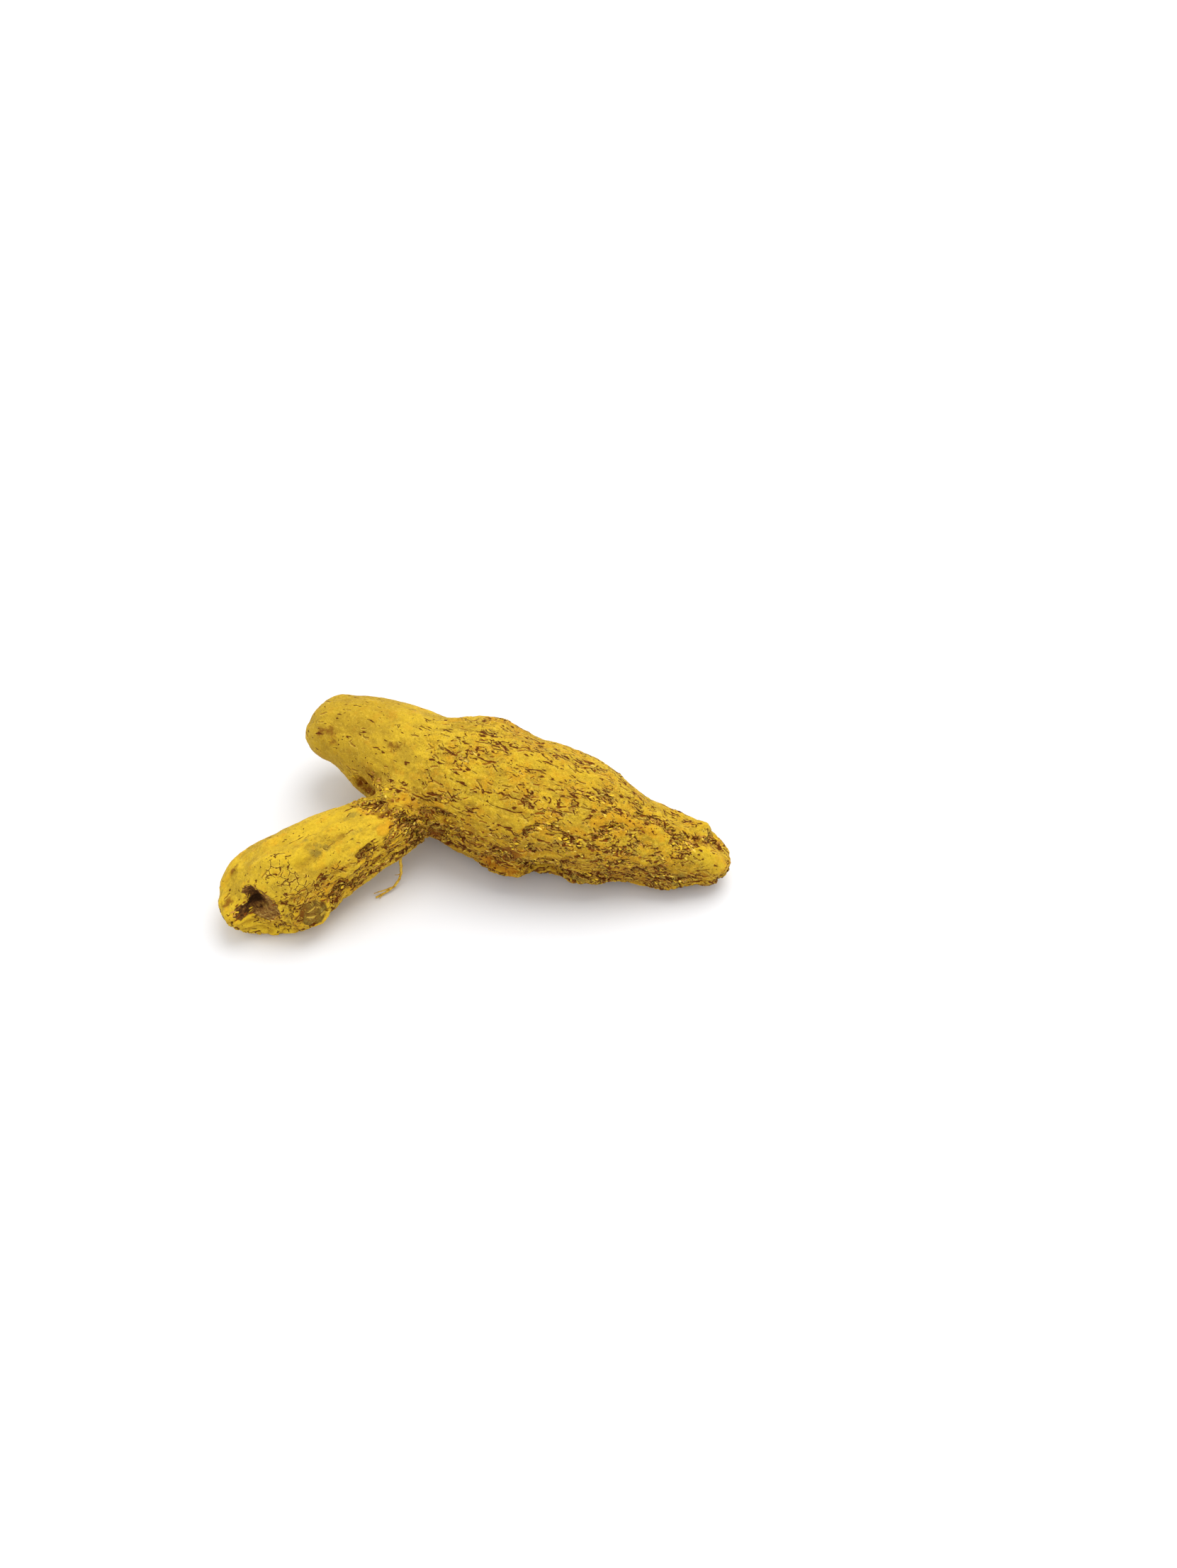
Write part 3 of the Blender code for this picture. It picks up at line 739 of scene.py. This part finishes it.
def insidePit(marks):
    # signed mm from the outline of the wound, plus inside, and the way into it
    corners = marks.path(pit["outline"] + pit["outline"][:1])
    middle = corners.mean(axis=0)
    inward = np.linalg.svd(corners - middle)[2][2]
    inward *= np.sign(inward[1])
    right = np.cross((0.0, 0.0, 1.0), inward)
    right /= -np.linalg.norm(right)
    up = np.cross(right, -inward)
    flat = np.stack([(marks.bent - middle) @ right, (marks.bent - middle) @ up], axis=1)
    outline = np.stack([(corners - middle) @ right, (corners - middle) @ up], axis=1)
    crossings = np.zeros(len(flat), int)
    apart = np.full(len(flat), 1e3)
    for start, end in zip(outline[:-1], outline[1:]):
        apart = np.minimum(apart, toSegment(flat, start, end))
        run = end - start
        if abs(run[1]) > 1e-9:
            t = (flat[:, 1] - start[1]) / run[1]
            crossings += (t >= 0) & (t < 1) & (flat[:, 0] < start[0] + t * run[0])
    near = np.abs((marks.bent - middle) @ inward) < 4.0
    signed = np.where(crossings % 2 == 1, apart, -apart)
    return np.where(near, signed, -9.0), inward


def digPit(mesh):
    marks = Marks(mesh, 0.28)
    inside, inward = insidePit(marks)
    deepest = marks.path((pit["deepest"],))[0]
    nearDeepest = falloff(np.linalg.norm(marks.bent - deepest, axis=1), 2.3)
    depth = pit["lowerDepth"] + (pit["depth"] - pit["lowerDepth"]) * nearDeepest
    rag = np.array([noise.fractal(Vector(p * 1.5), 0.7, 2.2, 3) for p in marks.points])
    wall = smooth(inside, -0.05, 0.75)
    rim = 0.16 * smooth(inside, -0.9, -0.15) * smooth(inside, 0.15, -0.15)
    setPoints(mesh, marks.points + inward * (depth * wall + 0.22 * rag * wall - rim)[:, None])


def paintMasks(mesh):
    marks = Marks(mesh, 0.28)
    points, bent = marks.points, marks.bent
    normals = vertexValues(mesh, "normal")
    ofMain = flowAlong(points, mainLine, towardsLight, normals)
    ofSide = flowAlong(points, sideLine, towardsLight, normals)
    # degrees round each finger: 0 on top, 90 on the side finger's side of the main one
    toNearSide = np.degrees(np.arctan2(-ofMain[0][:, 1], ofMain[0][:, 2]))
    toTipSide = np.degrees(np.arctan2(ofSide[0][:, 1], ofSide[0][:, 2]))
    meeting = np.array([forkPoint])
    ofSide[0] += flowAlong(meeting, mainLine)[0] - flowAlong(meeting, sideLine)[0]
    onSide = smooth(-bent[:, 1], -1.2, 1.2) * smooth(-bent[:, 0], 4.0, 6.5)
    along, offMain = bent[:, 0], 1 - onSide
    flow, light, outward, grain = [a * offMain[:, None] + b * onSide[:, None] for a, b in zip(ofMain, ofSide)]
    outward /= np.linalg.norm(outward, axis=1)[:, None]

    # how wrinkled and how torn the skin is; the far side is less torn
    low = smooth(np.abs(toNearSide), 76, 104)
    mainWrinkles = low * smooth(along, -14, -8) * np.where(toNearSide > 0, 1.0, 0.55)
    sideWrinkles = smooth(toTipSide, 50, 68) + 0.5 * smooth(-toTipSide, 80, 110)
    mainTears = 0.04 + 0.40 * smooth(along, -15, -4) + 0.07 * smooth(along, 3, 10)
    mainTears += 0.06 * low * smooth(along, -16, -8)
    mainTears *= 1.0 - 0.4 * smooth(-toNearSide, 45, 90)
    sideTears = 0.05 + 0.30 * smooth(toTipSide, 46, 64)
    neck = falloff(np.linalg.norm(bent - neckPoint, axis=1), 5.5)
    wrinkles = mainWrinkles * offMain + 0.8 * sideWrinkles * onSide + 0.5 * neck
    tears = mainTears * offMain + sideTears * onSide + 0.2 * neck
    # the tears come in clusters, with whole skin between them
    clusters = np.array([noise.noise(Vector(p * (0.30, 0.42, 0.42))) for p in points])
    tears *= 0.55 + 0.9 * smooth(clusters, -0.45, 0.45)
    for _, pixels, width, amount in tearMarks:
        tears += 0.7 * amount * marks.share(pixels, 1.4 * width)
    rugged = np.zeros(len(points))
    for _, pixels, width, amount in ruggedMarks:
        rugged = np.maximum(rugged, amount * marks.share(pixels, width))
    inside, _ = insidePit(marks)
    scar = np.linalg.norm(points - marks.path((roundScar["seenAt"],))[0], axis=1) / roundScar["radius"]
    # slivers come loose at tears, ridges and the rim of the wound, but not near the paper
    loose = 0.8 * smooth(tears, 0.6, 1.1) + 0.8 * rugged
    loose += 0.8 * smooth(inside, -0.5, -0.1) * smooth(inside, 0.5, 0.1)
    clearOfPaper = smooth(points[:, 2], 1.0, 3.2 - 2.0 * smooth(neck, 0.0, 0.3))
    loose *= clearOfPaper * smooth(scar, 0.6, 1.0) * smooth(inside, 0.8, 0.3)
    tears *= (1 - smooth(inside, -0.6, 0.0)) * (0.2 + 0.8 * smooth(scar, 0.75, 1.05))
    masks = {
        "flow": flow,
        "light": light,
        "outward": outward,
        "grainWay": grain,
        "rugged": rugged,
        "loose": np.clip(loose, 0, 1),
        # painted shade on the flank over the paper
        "paintedNearShade": smooth(toNearSide, 40, 95) * offMain * smooth(along, -16, -8),
        "dull": smooth(-along, 10, 19) * offMain,
        "scar": scar,
        "wrinkles": np.clip(wrinkles, 0, 1),
        "tears": np.clip(tears, 0, 1.3),
        "network": marks.share(endNetwork["seenAt"], endNetwork["width"]),
        "pit": np.clip(inside, -1, 1),
        "pitBrown": marks.share(pit["brown"], pit["brownWidth"]),
        # painted shade in the deepest part of the wound
        "pitPaintedShade": marks.share(pit["dark"], pit["paintedShadeWidth"]),
    }
    for name, tints in tintMarks.items():
        masks[name] = np.zeros(len(points))
        for _, pixels, width, amount in tints:
            masks[name] = np.maximum(masks[name], amount * marks.share(pixels, 1.7 * width))
    for name, values in masks.items():
        setAttribute(mesh, name, values)


def paintCrests(mesh):
    # how far each place stands out from its surroundings: ridges get painted highlight and rubbed brightness,
    # hollows painted shade and dust
    rounds, fullHeight = 11, 0.12
    edges = np.empty(len(mesh.edges) * 2, int)
    mesh.edges.foreach_get("vertices", edges)
    start, end = edges.reshape(-1, 2).T
    points = pointsOf(mesh)
    count = np.bincount(np.concatenate([start, end]), minlength=len(points))[:, None]
    calm = points
    for _ in range(rounds):
        sums = [np.bincount(start, calm[end, k], len(points)) + np.bincount(end, calm[start, k], len(points))
                for k in range(3)]
        calm = 0.4 * calm + 0.6 * np.stack(sums, axis=1) / count
    crest = ((points - calm) * vertexValues(mesh, "normal")).sum(axis=1)
    setAttribute(mesh, "crest", np.clip(crest / fullHeight, -1, 1))


def reliefTree():
    # Geometry Nodes: waves, folds, lumps and tears over the whole root
    tree, given = newTree("rhizomeRelief", reliefSizes)
    flow = namedAttribute(tree, "flow", "FLOAT_VECTOR")
    wrinkles = namedAttribute(tree, "wrinkles")
    tears = namedAttribute(tree, "tears")
    # slow waves
    wave = noiseNode(flow * (0.5, 1, 1), 0.30)
    height = (wave - 0.5) * (given["unevenness"] * 2.0)
    # lumpy skin
    lump = noiseNode(wobble(flow, 0.6, 1.0) * (0.6, 1, 1), 0.95, 3, 0.6)
    coarse = smoothStep(tears, 0.05, 0.40, 0.9, 2.0)
    height = height + (lump - 0.5) * (given["lumpHeight"] * coarse)
    # rough ridges and crevices
    rug = noiseNode(wobble(flow, 0.9, 0.9), 1.05, 3, 0.62)
    height = height + (rug - 0.5) * (namedAttribute(tree, "rugged") * (given["rugHeight"] * 2.0))
    # folds along the finger
    valley = foldValleys(flow, given["wrinkleSpacing"])
    height = height + (0.35 - valley) * (given["wrinkleDepth"] * wrinkles)
    # torn skin, with a slightly raised lip
    amount = tears + valley * wrinkles * 0.45
    for seedShift, size, share in tearLayers:
        inside = tearField(flow, amount, given["tearSize"] * size, given["tearStretch"], seedShift)
        gone = smoothStep(inside, -0.012, 0.035)
        lip = smoothStep(inside, -0.09, -0.02) * (1.0 - gone)
        height = height + gone * (given["tearDepth"] * -share) + lip * (0.05 * share)
    offset = addNode(tree, "GeometryNodeInputNormal") * (height * metresPerMm)
    moved = addNode(tree, "GeometryNodeSetPosition", {"Geometry": given["Geometry"], "Offset": offset})
    return finishTree(tree, moved, given["material"])


def skinMaterial():
    material, tree, finish = newMaterial("turmericSkin", 0.10, 0.7)

    def attribute(name, output="Fac"):
        return addNode(tree, "ShaderNodeAttribute", attribute_name=name).out(output)

    flow = attribute("flow", "Vector")
    light = attribute("light", "Vector")
    wrinkles = attribute("wrinkles")
    tears = attribute("tears")
    rugged = attribute("rugged")
    crest = attribute("crest")
    tone = {name: linear(rgb) for name, rgb in skinColours.items()}

    # gold and olive clouds, lighter on the crests as painted highlight, and orange where the skin is worn
    cloud = noiseNode(flow * (0.6, 1, 1), 0.45, 5, 0.7) + crest * 0.12
    colour = mixColour(smoothStep(cloud, 0.36, 0.62), tone["oliveGold"], tone["gold"])
    warm = noiseNode(flow + (31.0, 5.0, 9.0), 0.55, 5, 0.65) + crest * 0.10
    colour = mixColour(smoothStep(warm, 0.53, 0.70, 0.0, 0.5), colour, tone["orange"])
    warmWear = smoothStep(tears, 0.15, 0.5, 0.0, 0.45) * smoothStep(warm, 0.42, 0.58)
    colour = mixColour(warmWear, colour, tone["orange"])
    # the head is duller; the flank over the paper, which faces away from the light, gets painted shade,
    # darker and browner
    colour = mixColour(attribute("dull") * 0.45, colour, tone["dull"])
    colour = mixColour(attribute("paintedNearShade") * 0.6, colour, tone["paintedNearShade"])
    # grain, and painted shade with dust in the hollows between the granules and below the ridges, less where
    # the skin is smooth; painted highlight on the crests, and russet painted shade in the crevices of rough
    # skin
    coarse = smoothStep(tears + rugged, 0.05, 0.45, 0.55, 1.0)
    grain = noiseNode(flow, 2.7, 4, 0.75)
    granules = (noiseNode(flow, 1.9, 4, 0.62) - 0.5) * coarse
    colour = mixColour(smoothStep(grain, 0.52, 0.64, 0.0, 0.62) * coarse, colour, tone["speck"])
    colour = mixColour(smoothStep(grain, 0.46, 0.36, 0.0, 0.60) * coarse, colour, tone["lip"])
    colour = mixColour(smoothStep(granules, -0.03, -0.14, 0.0, 0.5), colour, tone["speck"])
    colour = mixColour(smoothStep(crest, -0.2, -0.9, 0.0, 0.6), colour, tone["speck"])
    colour = mixColour(smoothStep(crest, 0.2, 0.8, 0.0, 0.35), colour, tone["bright"])
    colour = mixColour(smoothStep(crest, 0.0, -0.7, 0.0, 0.8) * rugged, colour, tone["russet"])

    # the round scar: a mottled olive disc with a broken dark ring
    rag = (noiseNode(flow, 1.1, 5, 0.68) - 0.5) * 2.2
    scar = attribute("scar") + rag * 0.20
    offScar = smoothStep(scar, 0.92, 1.02)
    mottle = noiseNode(wobble(flow, 1.0, 1.0), 1.7, 5, 0.7)
    scarColour = mixColour(smoothStep(mottle, 0.42, 0.52), tone["scarDark"], tone["scarOlive"])
    scarColour = mixColour(smoothStep(mottle, 0.58, 0.64, 0.0, 0.4), scarColour, tone["pale"])
    colour = mixColour(smoothStep(scar, 1.02, 0.94, 0.0, 0.95), colour, scarColour)
    brokenRing = smoothStep(noiseNode(flow, 0.8, 3, 0.6), 0.44, 0.56, 0.1, 0.8)
    colour = mixColour(smoothStep(abs(scar - 0.97), 0.10, 0.02) * brokenRing, colour, tone["scarDark"])

    # patches, each with a ragged edge, and brown streaks across the bud stub
    for name, strength in patchStrength.items():
        amount = attribute(name)
        edge = amount + rag * smoothStep(amount, 0.0, 0.3)
        colour = mixColour(smoothStep(edge, 0.2, 0.9, 0.0, strength), colour, tone[name])
    streak = noiseNode(wobble(flow, 1.0, 0.5) * (2.6, 0.7, 0.9), 1.3, 3, 0.6)
    colour = mixColour(smoothStep(streak, 0.50, 0.60, 0.0, 0.75) * attribute("bud"), colour, tone["russet"])

    # torn skin: rough tan flesh inside, a pale lip as painted highlight, and a painted shadow line under the
    # edge that faces the light
    folded = foldValleys(flow, skinShape["wrinkleSpacing"]) * wrinkles
    amount = tears + folded * 0.45
    flesh = noiseNode(wobble(flow, 1.5, 0.5), 2.3, 4, 0.7)
    fleshColour = mixColour(smoothStep(flesh, 0.40, 0.48), tone["brown"], tone["worn"])
    fleshColour = mixColour(smoothStep(flesh, 0.52, 0.58, 0.0, 0.9), fleshColour, tone["gold"])
    fleshColour = mixColour(smoothStep(flesh, 0.59, 0.64, 0.0, 0.75), fleshColour, tone["pale"])
    colour = mixColour(folded * 0.3, colour, tone["russet"])
    shadeward = flow + light * crackLook["shadeOffset"]
    height = granules * 0.75 + grain * -0.22
    for seedShift, size, share in reversed(tearLayers):
        inside, upEdge = [tearField(place, amount, size * skinShape["tearSize"], skinShape["tearStretch"],
                                    seedShift) for place in (flow, shadeward)]
        gone = smoothStep(inside, 0.0, 0.016)
        # painted shadow under the edge that faces the light, and a pale lip as painted highlight
        dark = smoothStep(inside, -0.004, 0.010) * smoothStep(upEdge, 0.012, -0.012)
        lip = smoothStep(inside, -0.03, -0.004) * (1.0 - gone)
        colour = mixColour(lip * 0.35, colour, tone["pale"])
        colour = mixColour(gone * 0.85, colour, fleshColour)
        colour = mixColour(dark * 0.9, colour, tone["crack"])
        height = height - gone * (0.10 * share) - dark * (0.06 * share)

    # wandering cracks where the skin is worn: how worn, scale, stretch along the finger, where in the noise
    crackFamilies = (
        (amount - 0.22, 2.0, 1.5, 23.0),
        (amount - 0.02, 1.3, 2.0, 5.0),
        (wrinkles * 0.55 + tears * 0.4, 1.25, 4.5, 61.0),
    )
    for wear, scale, stretch, seedShift in crackFamilies:
        line, strip = crackLines(flow, wear * offScar, scale, stretch, seedShift)
        colour = mixColour(strip * smoothStep(amount, 0.15, 0.6) * 0.65, colour, fleshColour)
        colour = mixColour(line * 0.95, colour, tone["crack"])
        height = height - line * 0.15
    # short dashes over all the skin, each with a painted highlight on its lip on the side away from the light
    outward = attribute("outward", "Vector")
    for layer in dashLayers:
        dark, lip, redness = dashes(flow, outward, light, amount, layer)
        dark = dark * offScar
        dashColour = mixColour(smoothStep(redness, 0.30, 0.75), tone["crack"], tone["russet"])
        colour = mixColour(lip * 0.6, colour, tone["lip"])
        colour = mixColour(dark * smoothStep(amount, 0.25, 0.8, 0.60, 0.92), colour, dashColour)
        height = height - dark * 0.14 + lip * 0.05

    # drying cracks in the end of the side finger
    given = {"Scale": 1.0, "Vector": wobble(wobble(flow, 0.8, 0.9), 3.0, 0.3)}
    toCrack = addNode(tree, "ShaderNodeTexVoronoi", given, feature="DISTANCE_TO_EDGE").out("Distance")
    breaks = smoothStep(noiseNode(flow, 1.1, 3, 0.6) + attribute("network") * 0.32, 0.66, 0.76)
    crackWidth = breaks * 0.065 + 0.0001
    crack = smoothStep(toCrack, crackWidth, crackWidth * 0.3)
    colour = mixColour(smoothStep(toCrack, 0.18, 0.05, 0.0, 0.5) * breaks, colour, tone["lip"])
    colour = mixColour(crack * 0.95, colour, tone["crack"])
    height = height - crack * 0.12

    # the open wound: torn brown fibres, with painted shade where it is deepest
    inPit = smoothStep(attribute("pit") + rag * 0.22, -0.04, 0.06)
    tissue = noiseNode(wobble(flow * (1.0, 0.4, 1.9), 1.2, 0.7), 2.3, 5, 0.72)
    browner = tissue - attribute("pitBrown") * 0.16
    tissueColour = mixColour(smoothStep(browner, 0.40, 0.52), tone["woundBrown"], tone["woundTan"])
    tissueColour = mixColour(smoothStep(browner, 0.28, 0.38, 0.8, 0.0), tissueColour, tone["woundDark"])
    tissueColour = mixColour(smoothStep(browner, 0.56, 0.64, 0.0, 0.7), tissueColour, tone["pale"])
    # painted shade in the deepest part
    shade = smoothStep(attribute("pitPaintedShade") + rag * 0.3, 0.2, 0.8, 0.0, 0.9)
    tissueColour = mixColour(shade, tissueColour, tone["woundDark"])
    colour = mixColour(inPit, colour, tissueColour)
    height = height + tissue * inPit * 0.45

    plug(finish["Base Color"], colour)
    plug(finish["Roughness"], smoothStep(grain, 0.3, 0.7, 0.58, 0.80))
    bumps = {"Distance": metresPerMm, "Strength": 0.9, "Height": height}
    plug(finish["Normal"], addNode(tree, "ShaderNodeBump", bumps))
    return material


def buildRhizome():
    piece = copyOfNode("rhizome", "rhizomeSkin")
    evened(piece, skinShape["roughVoxel"], 9)
    sculptMarks(piece.data)
    digPit(piece.data)
    evened(piece, skinShape["voxel"], 1)
    paintMasks(piece.data)
    grown(piece, reliefTree(), skinShape, skinMaterial())
    paintCrests(piece.data)
    piece.data.shade_smooth()
    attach(piece, "root")
    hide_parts("rhizome")
    print("rhizome skin:", len(piece.data.polygons), "faces")
    return piece


# slivers of loose skin, along the tears and over the neck
slivers = {
    "perSquareMm": 4.0,
    "length": 0.60,
    "width": 0.20,
    "thickness": 0.08,
    "bend": 0.16,
    "lean": 14.0,            # degrees out of the skin
    "turn": 40.0,            # degrees off the grain
    "seed": 6,
}
sliverSizes = ("perSquareMm", "length", "width", "thickness", "bend", "lean", "turn")


def sliverTree():
    tree, given = newTree("looseSkin", sliverSizes)
    # one sliver: a bar, tapered to both ends and bent
    bar = addNode(tree, "GeometryNodeMeshCube", {"Vertices X": 4, "Vertices Y": 2, "Vertices Z": 2})
    axes = addNode(tree, "ShaderNodeSeparateXYZ", {0: addNode(tree, "GeometryNodeInputPosition")})
    x, y, z = [axes.out(k) for k in range(3)]
    fromMiddle = x * x
    taper = fromMiddle * -3.2 + 1.0
    bow = (0.125 - fromMiddle) * given["bend"]
    upward = z * given["thickness"] * taper + bow
    place = combine(tree, x * given["length"], y * given["width"] * taper, upward)
    sliver = addNode(tree, "GeometryNodeSetPosition", {"Geometry": bar, "Position": place * metresPerMm})
    # scattered where the skin is loose, lying along the grain
    density = given["perSquareMm"] * metresPerMm ** -2 * namedAttribute(tree, "loose")
    scatter = addNode(tree, "GeometryNodeDistributePointsOnFaces",
                      {"Mesh": given["Geometry"], "Density": density, "Seed": slivers["seed"]})
    standing = addNode(tree, "FunctionNodeAlignRotationToVector", {"Vector": scatter.out("Normal")}, axis="Z")
    grain = namedAttribute(tree, "grainWay", "FLOAT_VECTOR")
    lying = addNode(tree, "FunctionNodeAlignRotationToVector", {"Rotation": standing, "Vector": grain},
                    axis="X", pivot_axis="Z")
    radians = math.pi / 180
    lean = randomValue(tree, -radians, radians, 1) * given["lean"]
    turn = randomValue(tree, -radians, radians, 2) * given["turn"]
    turned = addNode(tree, "FunctionNodeRotateRotation",
                     {"Rotation": lying, "Rotate By": combine(tree, lean, lean, turn)},
                     rotation_space="LOCAL")
    ranges = ((0.4, 1.4, 3), (0.6, 1.5, 4), (0.6, 1.4, 5))  # shortest and longest share, and seed
    scale = combine(tree, *[randomValue(tree, *drawn) for drawn in ranges])
    placed = addNode(tree, "GeometryNodeInstanceOnPoints",
                     {"Points": scatter, "Instance": sliver, "Rotation": turned, "Scale": scale})
    toned = addNode(tree, "GeometryNodeStoreNamedAttribute",
                    {"Geometry": placed, "Name": "tone", "Value": randomValue(tree, 0.0, 1.0, 6)},
                    domain="INSTANCE")
    return finishTree(tree, toned, given["material"])


def sliverMaterial():
    material, tree, finish = newMaterial("looseSkin", 0.10, 0.7)
    place = addNode(tree, "ShaderNodeTexCoord").out("Object")
    mottle = noiseNode(place, 2.5 / metresPerMm, 3, 0.7)
    value = addNode(tree, "ShaderNodeAttribute", attribute_name="tone").out("Fac") + (mottle - 0.5) * 0.8
    tone = {name: linear(rgb) for name, rgb in skinColours.items()}
    colour = mixColour(smoothStep(value, 0.12, 0.26), tone["brown"], tone["worn"])
    colour = mixColour(smoothStep(value, 0.44, 0.54), colour, tone["speck"])
    colour = mixColour(smoothStep(value, 0.64, 0.74), colour, tone["gold"])
    colour = mixColour(smoothStep(value, 0.88, 0.98, 0.0, 0.5), colour, tone["pale"])
    plug(finish["Base Color"], colour)
    return material


def buildSlivers(skin):
    piece = linkedPiece("looseSkin", skin.data.copy())
    grown(piece, sliverTree(), slivers, sliverMaterial())
    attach(piece, "root")
    print("slivers of loose skin:", len(piece.data.polygons), "faces")


# the rootlet at the fork: a main fibre and the strands that split from it, each with its radius at both ends
rootlet = {
    "strands": (
        dict(path=((-10.4, -2.2, 3.9), (-10.3, -2.7, 3.3), (-10.1, -3.2, 2.5), (-10.0, -3.9, 1.6),
                   (-10.4, -4.9, 0.9), (-11.2, -6.0, 0.5), (-12.1, -7.0, 0.3)), start=0.22, end=0.12),
        dict(path=((-10.5, -5.1, 0.85), (-11.1, -5.7, 0.8), (-11.9, -6.2, 0.6), (-12.6, -6.5, 0.3)),
             start=0.13, end=0.06),
        dict(path=((-10.0, -3.5, 2.1), (-10.2, -3.8, 1.9), (-10.6, -4.0, 1.9)), start=0.07, end=0.04),
        dict(path=((-11.2, -6.0, 0.5), (-11.4, -6.5, 0.5), (-11.5, -7.1, 0.45)), start=0.07, end=0.04),
    ),
    "spacing": 0.12,
    "crookedness": 0.18,
    "colour": (222, 182, 62),
    "dark": (176, 132, 42),
}


def fibreTree():
    # Geometry Nodes: crooked round fibres along the strands
    tree, given = newTree("crookedFibre", ("spacing", "crookedness"))
    strands = addNode(tree, "GeometryNodeMeshToCurve", {0: given["Geometry"]})
    rounded = addNode(tree, "GeometryNodeCurveSplineType", {0: strands}, spline_type="CATMULL_ROM")
    even = addNode(tree, "GeometryNodeResampleCurve",
                   {"Curve": rounded, "Length": given["spacing"] * metresPerMm}, mode="LENGTH")
    place = addNode(tree, "GeometryNodeInputPosition") * (1 / metresPerMm)
    offset = (wobble(place, 1.6, 1.0) - place) * (given["crookedness"] * metresPerMm)
    crooked = addNode(tree, "GeometryNodeSetPosition", {"Geometry": even, "Offset": offset})
    radius = namedAttribute(tree, "thickness") * (noiseNode(place, 2.0, 2, 0.6) + 0.5)
    ring = addNode(tree, "GeometryNodeCurvePrimitiveCircle", {"Resolution": 7, "Radius": metresPerMm})
    tube = addNode(tree, "GeometryNodeCurveToMesh",
                   {"Curve": crooked, "Profile Curve": ring, "Scale": radius, "Fill Caps": True})
    return finishTree(tree, tube, given["material"])


def fibreMaterial():
    material, tree, finish = newMaterial("rootletFibre", 0.15, 0.65)
    place = addNode(tree, "ShaderNodeTexCoord").out("Object")
    mottle = noiseNode(place, 2.2 / metresPerMm, 4, 0.7)
    share = smoothStep(mottle, 0.40, 0.56)
    plug(finish["Base Color"], mixColour(share, linear(rootlet["dark"]), linear(rootlet["colour"])))
    return material


def buildRootlet():
    places, edges, thickness = [], [], []
    for strand in rootlet["strands"]:
        first, count = len(places), len(strand["path"])
        places += [[value * metresPerMm for value in place] for place in strand["path"]]
        edges += [(first + i, first + i + 1) for i in range(count - 1)]
        thickness += list(np.linspace(strand["start"], strand["end"], count))
    mesh = bpy.data.meshes.new("rootletFibre")
    mesh.from_pydata(places, edges, [])
    setAttribute(mesh, "thickness", np.array(thickness))
    piece = linkedPiece("rootletFibre", mesh)
    grown(piece, fibreTree(), rootlet, fibreMaterial())
    piece.data.shade_smooth()
    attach(piece, "root")
    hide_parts("rootlet")
    print("rootlet:", len(piece.data.polygons), "faces")


# paper, light and camera
studio = {
    "paperColour": (239, 239, 240),
    "paperSize": 3.0,
    "skyColour": (252, 253, 255),
    "skyStrength": 0.94,
    "keyPower": 1.50,
    "keySize": 0.42,
    "keyPlace": (0.07, 0.17, 0.49),
}


def buildStudio():
    bpy.ops.mesh.primitive_plane_add(size=studio["paperSize"])
    paper = bpy.context.object
    paper.name = "paper"
    material, _, finish = newMaterial("paper", 0.1, 0.85)
    finish["Base Color"].default_value = linear(studio["paperColour"])
    paper.data.materials.append(material)

    world = bpy.data.worlds.new("studio")
    world.use_nodes = True
    sky = world.node_tree.nodes["Background"].inputs
    sky["Color"].default_value = linear(studio["skyColour"])
    sky["Strength"].default_value = studio["skyStrength"]
    bpy.context.scene.world = world

    light = bpy.data.lights.new("softKey", "AREA")
    light.shape = "DISK"
    light.size = studio["keySize"]
    light.energy = studio["keyPower"]
    lamp = bpy.data.objects.new("softKey", light)
    lamp.location = studio["keyPlace"]
    lamp.rotation_euler = (-Vector(studio["keyPlace"])).to_track_quat("-Z", "Y").to_euler()
    bpy.context.scene.collection.objects.link(lamp)


def buildCamera():
    lens = bpy.data.cameras.new("photoView")
    lens.lens = camera["lens"]
    lens.sensor_width = camera["sensor"]
    lens.clip_start = 0.01
    view = bpy.data.objects.new("photoView", lens)
    view.location = camera["place"]
    view.rotation_euler = (math.radians(camera["tilt"]), 0.0, math.radians(camera["turn"]))
    bpy.context.scene.collection.objects.link(view)
    bpy.context.scene.camera = view


bpy.context.scene.view_settings.view_transform = "Standard"
rhizome = buildRhizome()
buildSlivers(rhizome)
buildRootlet()
buildStudio()
buildCamera()
print("paper, light and camera are set")
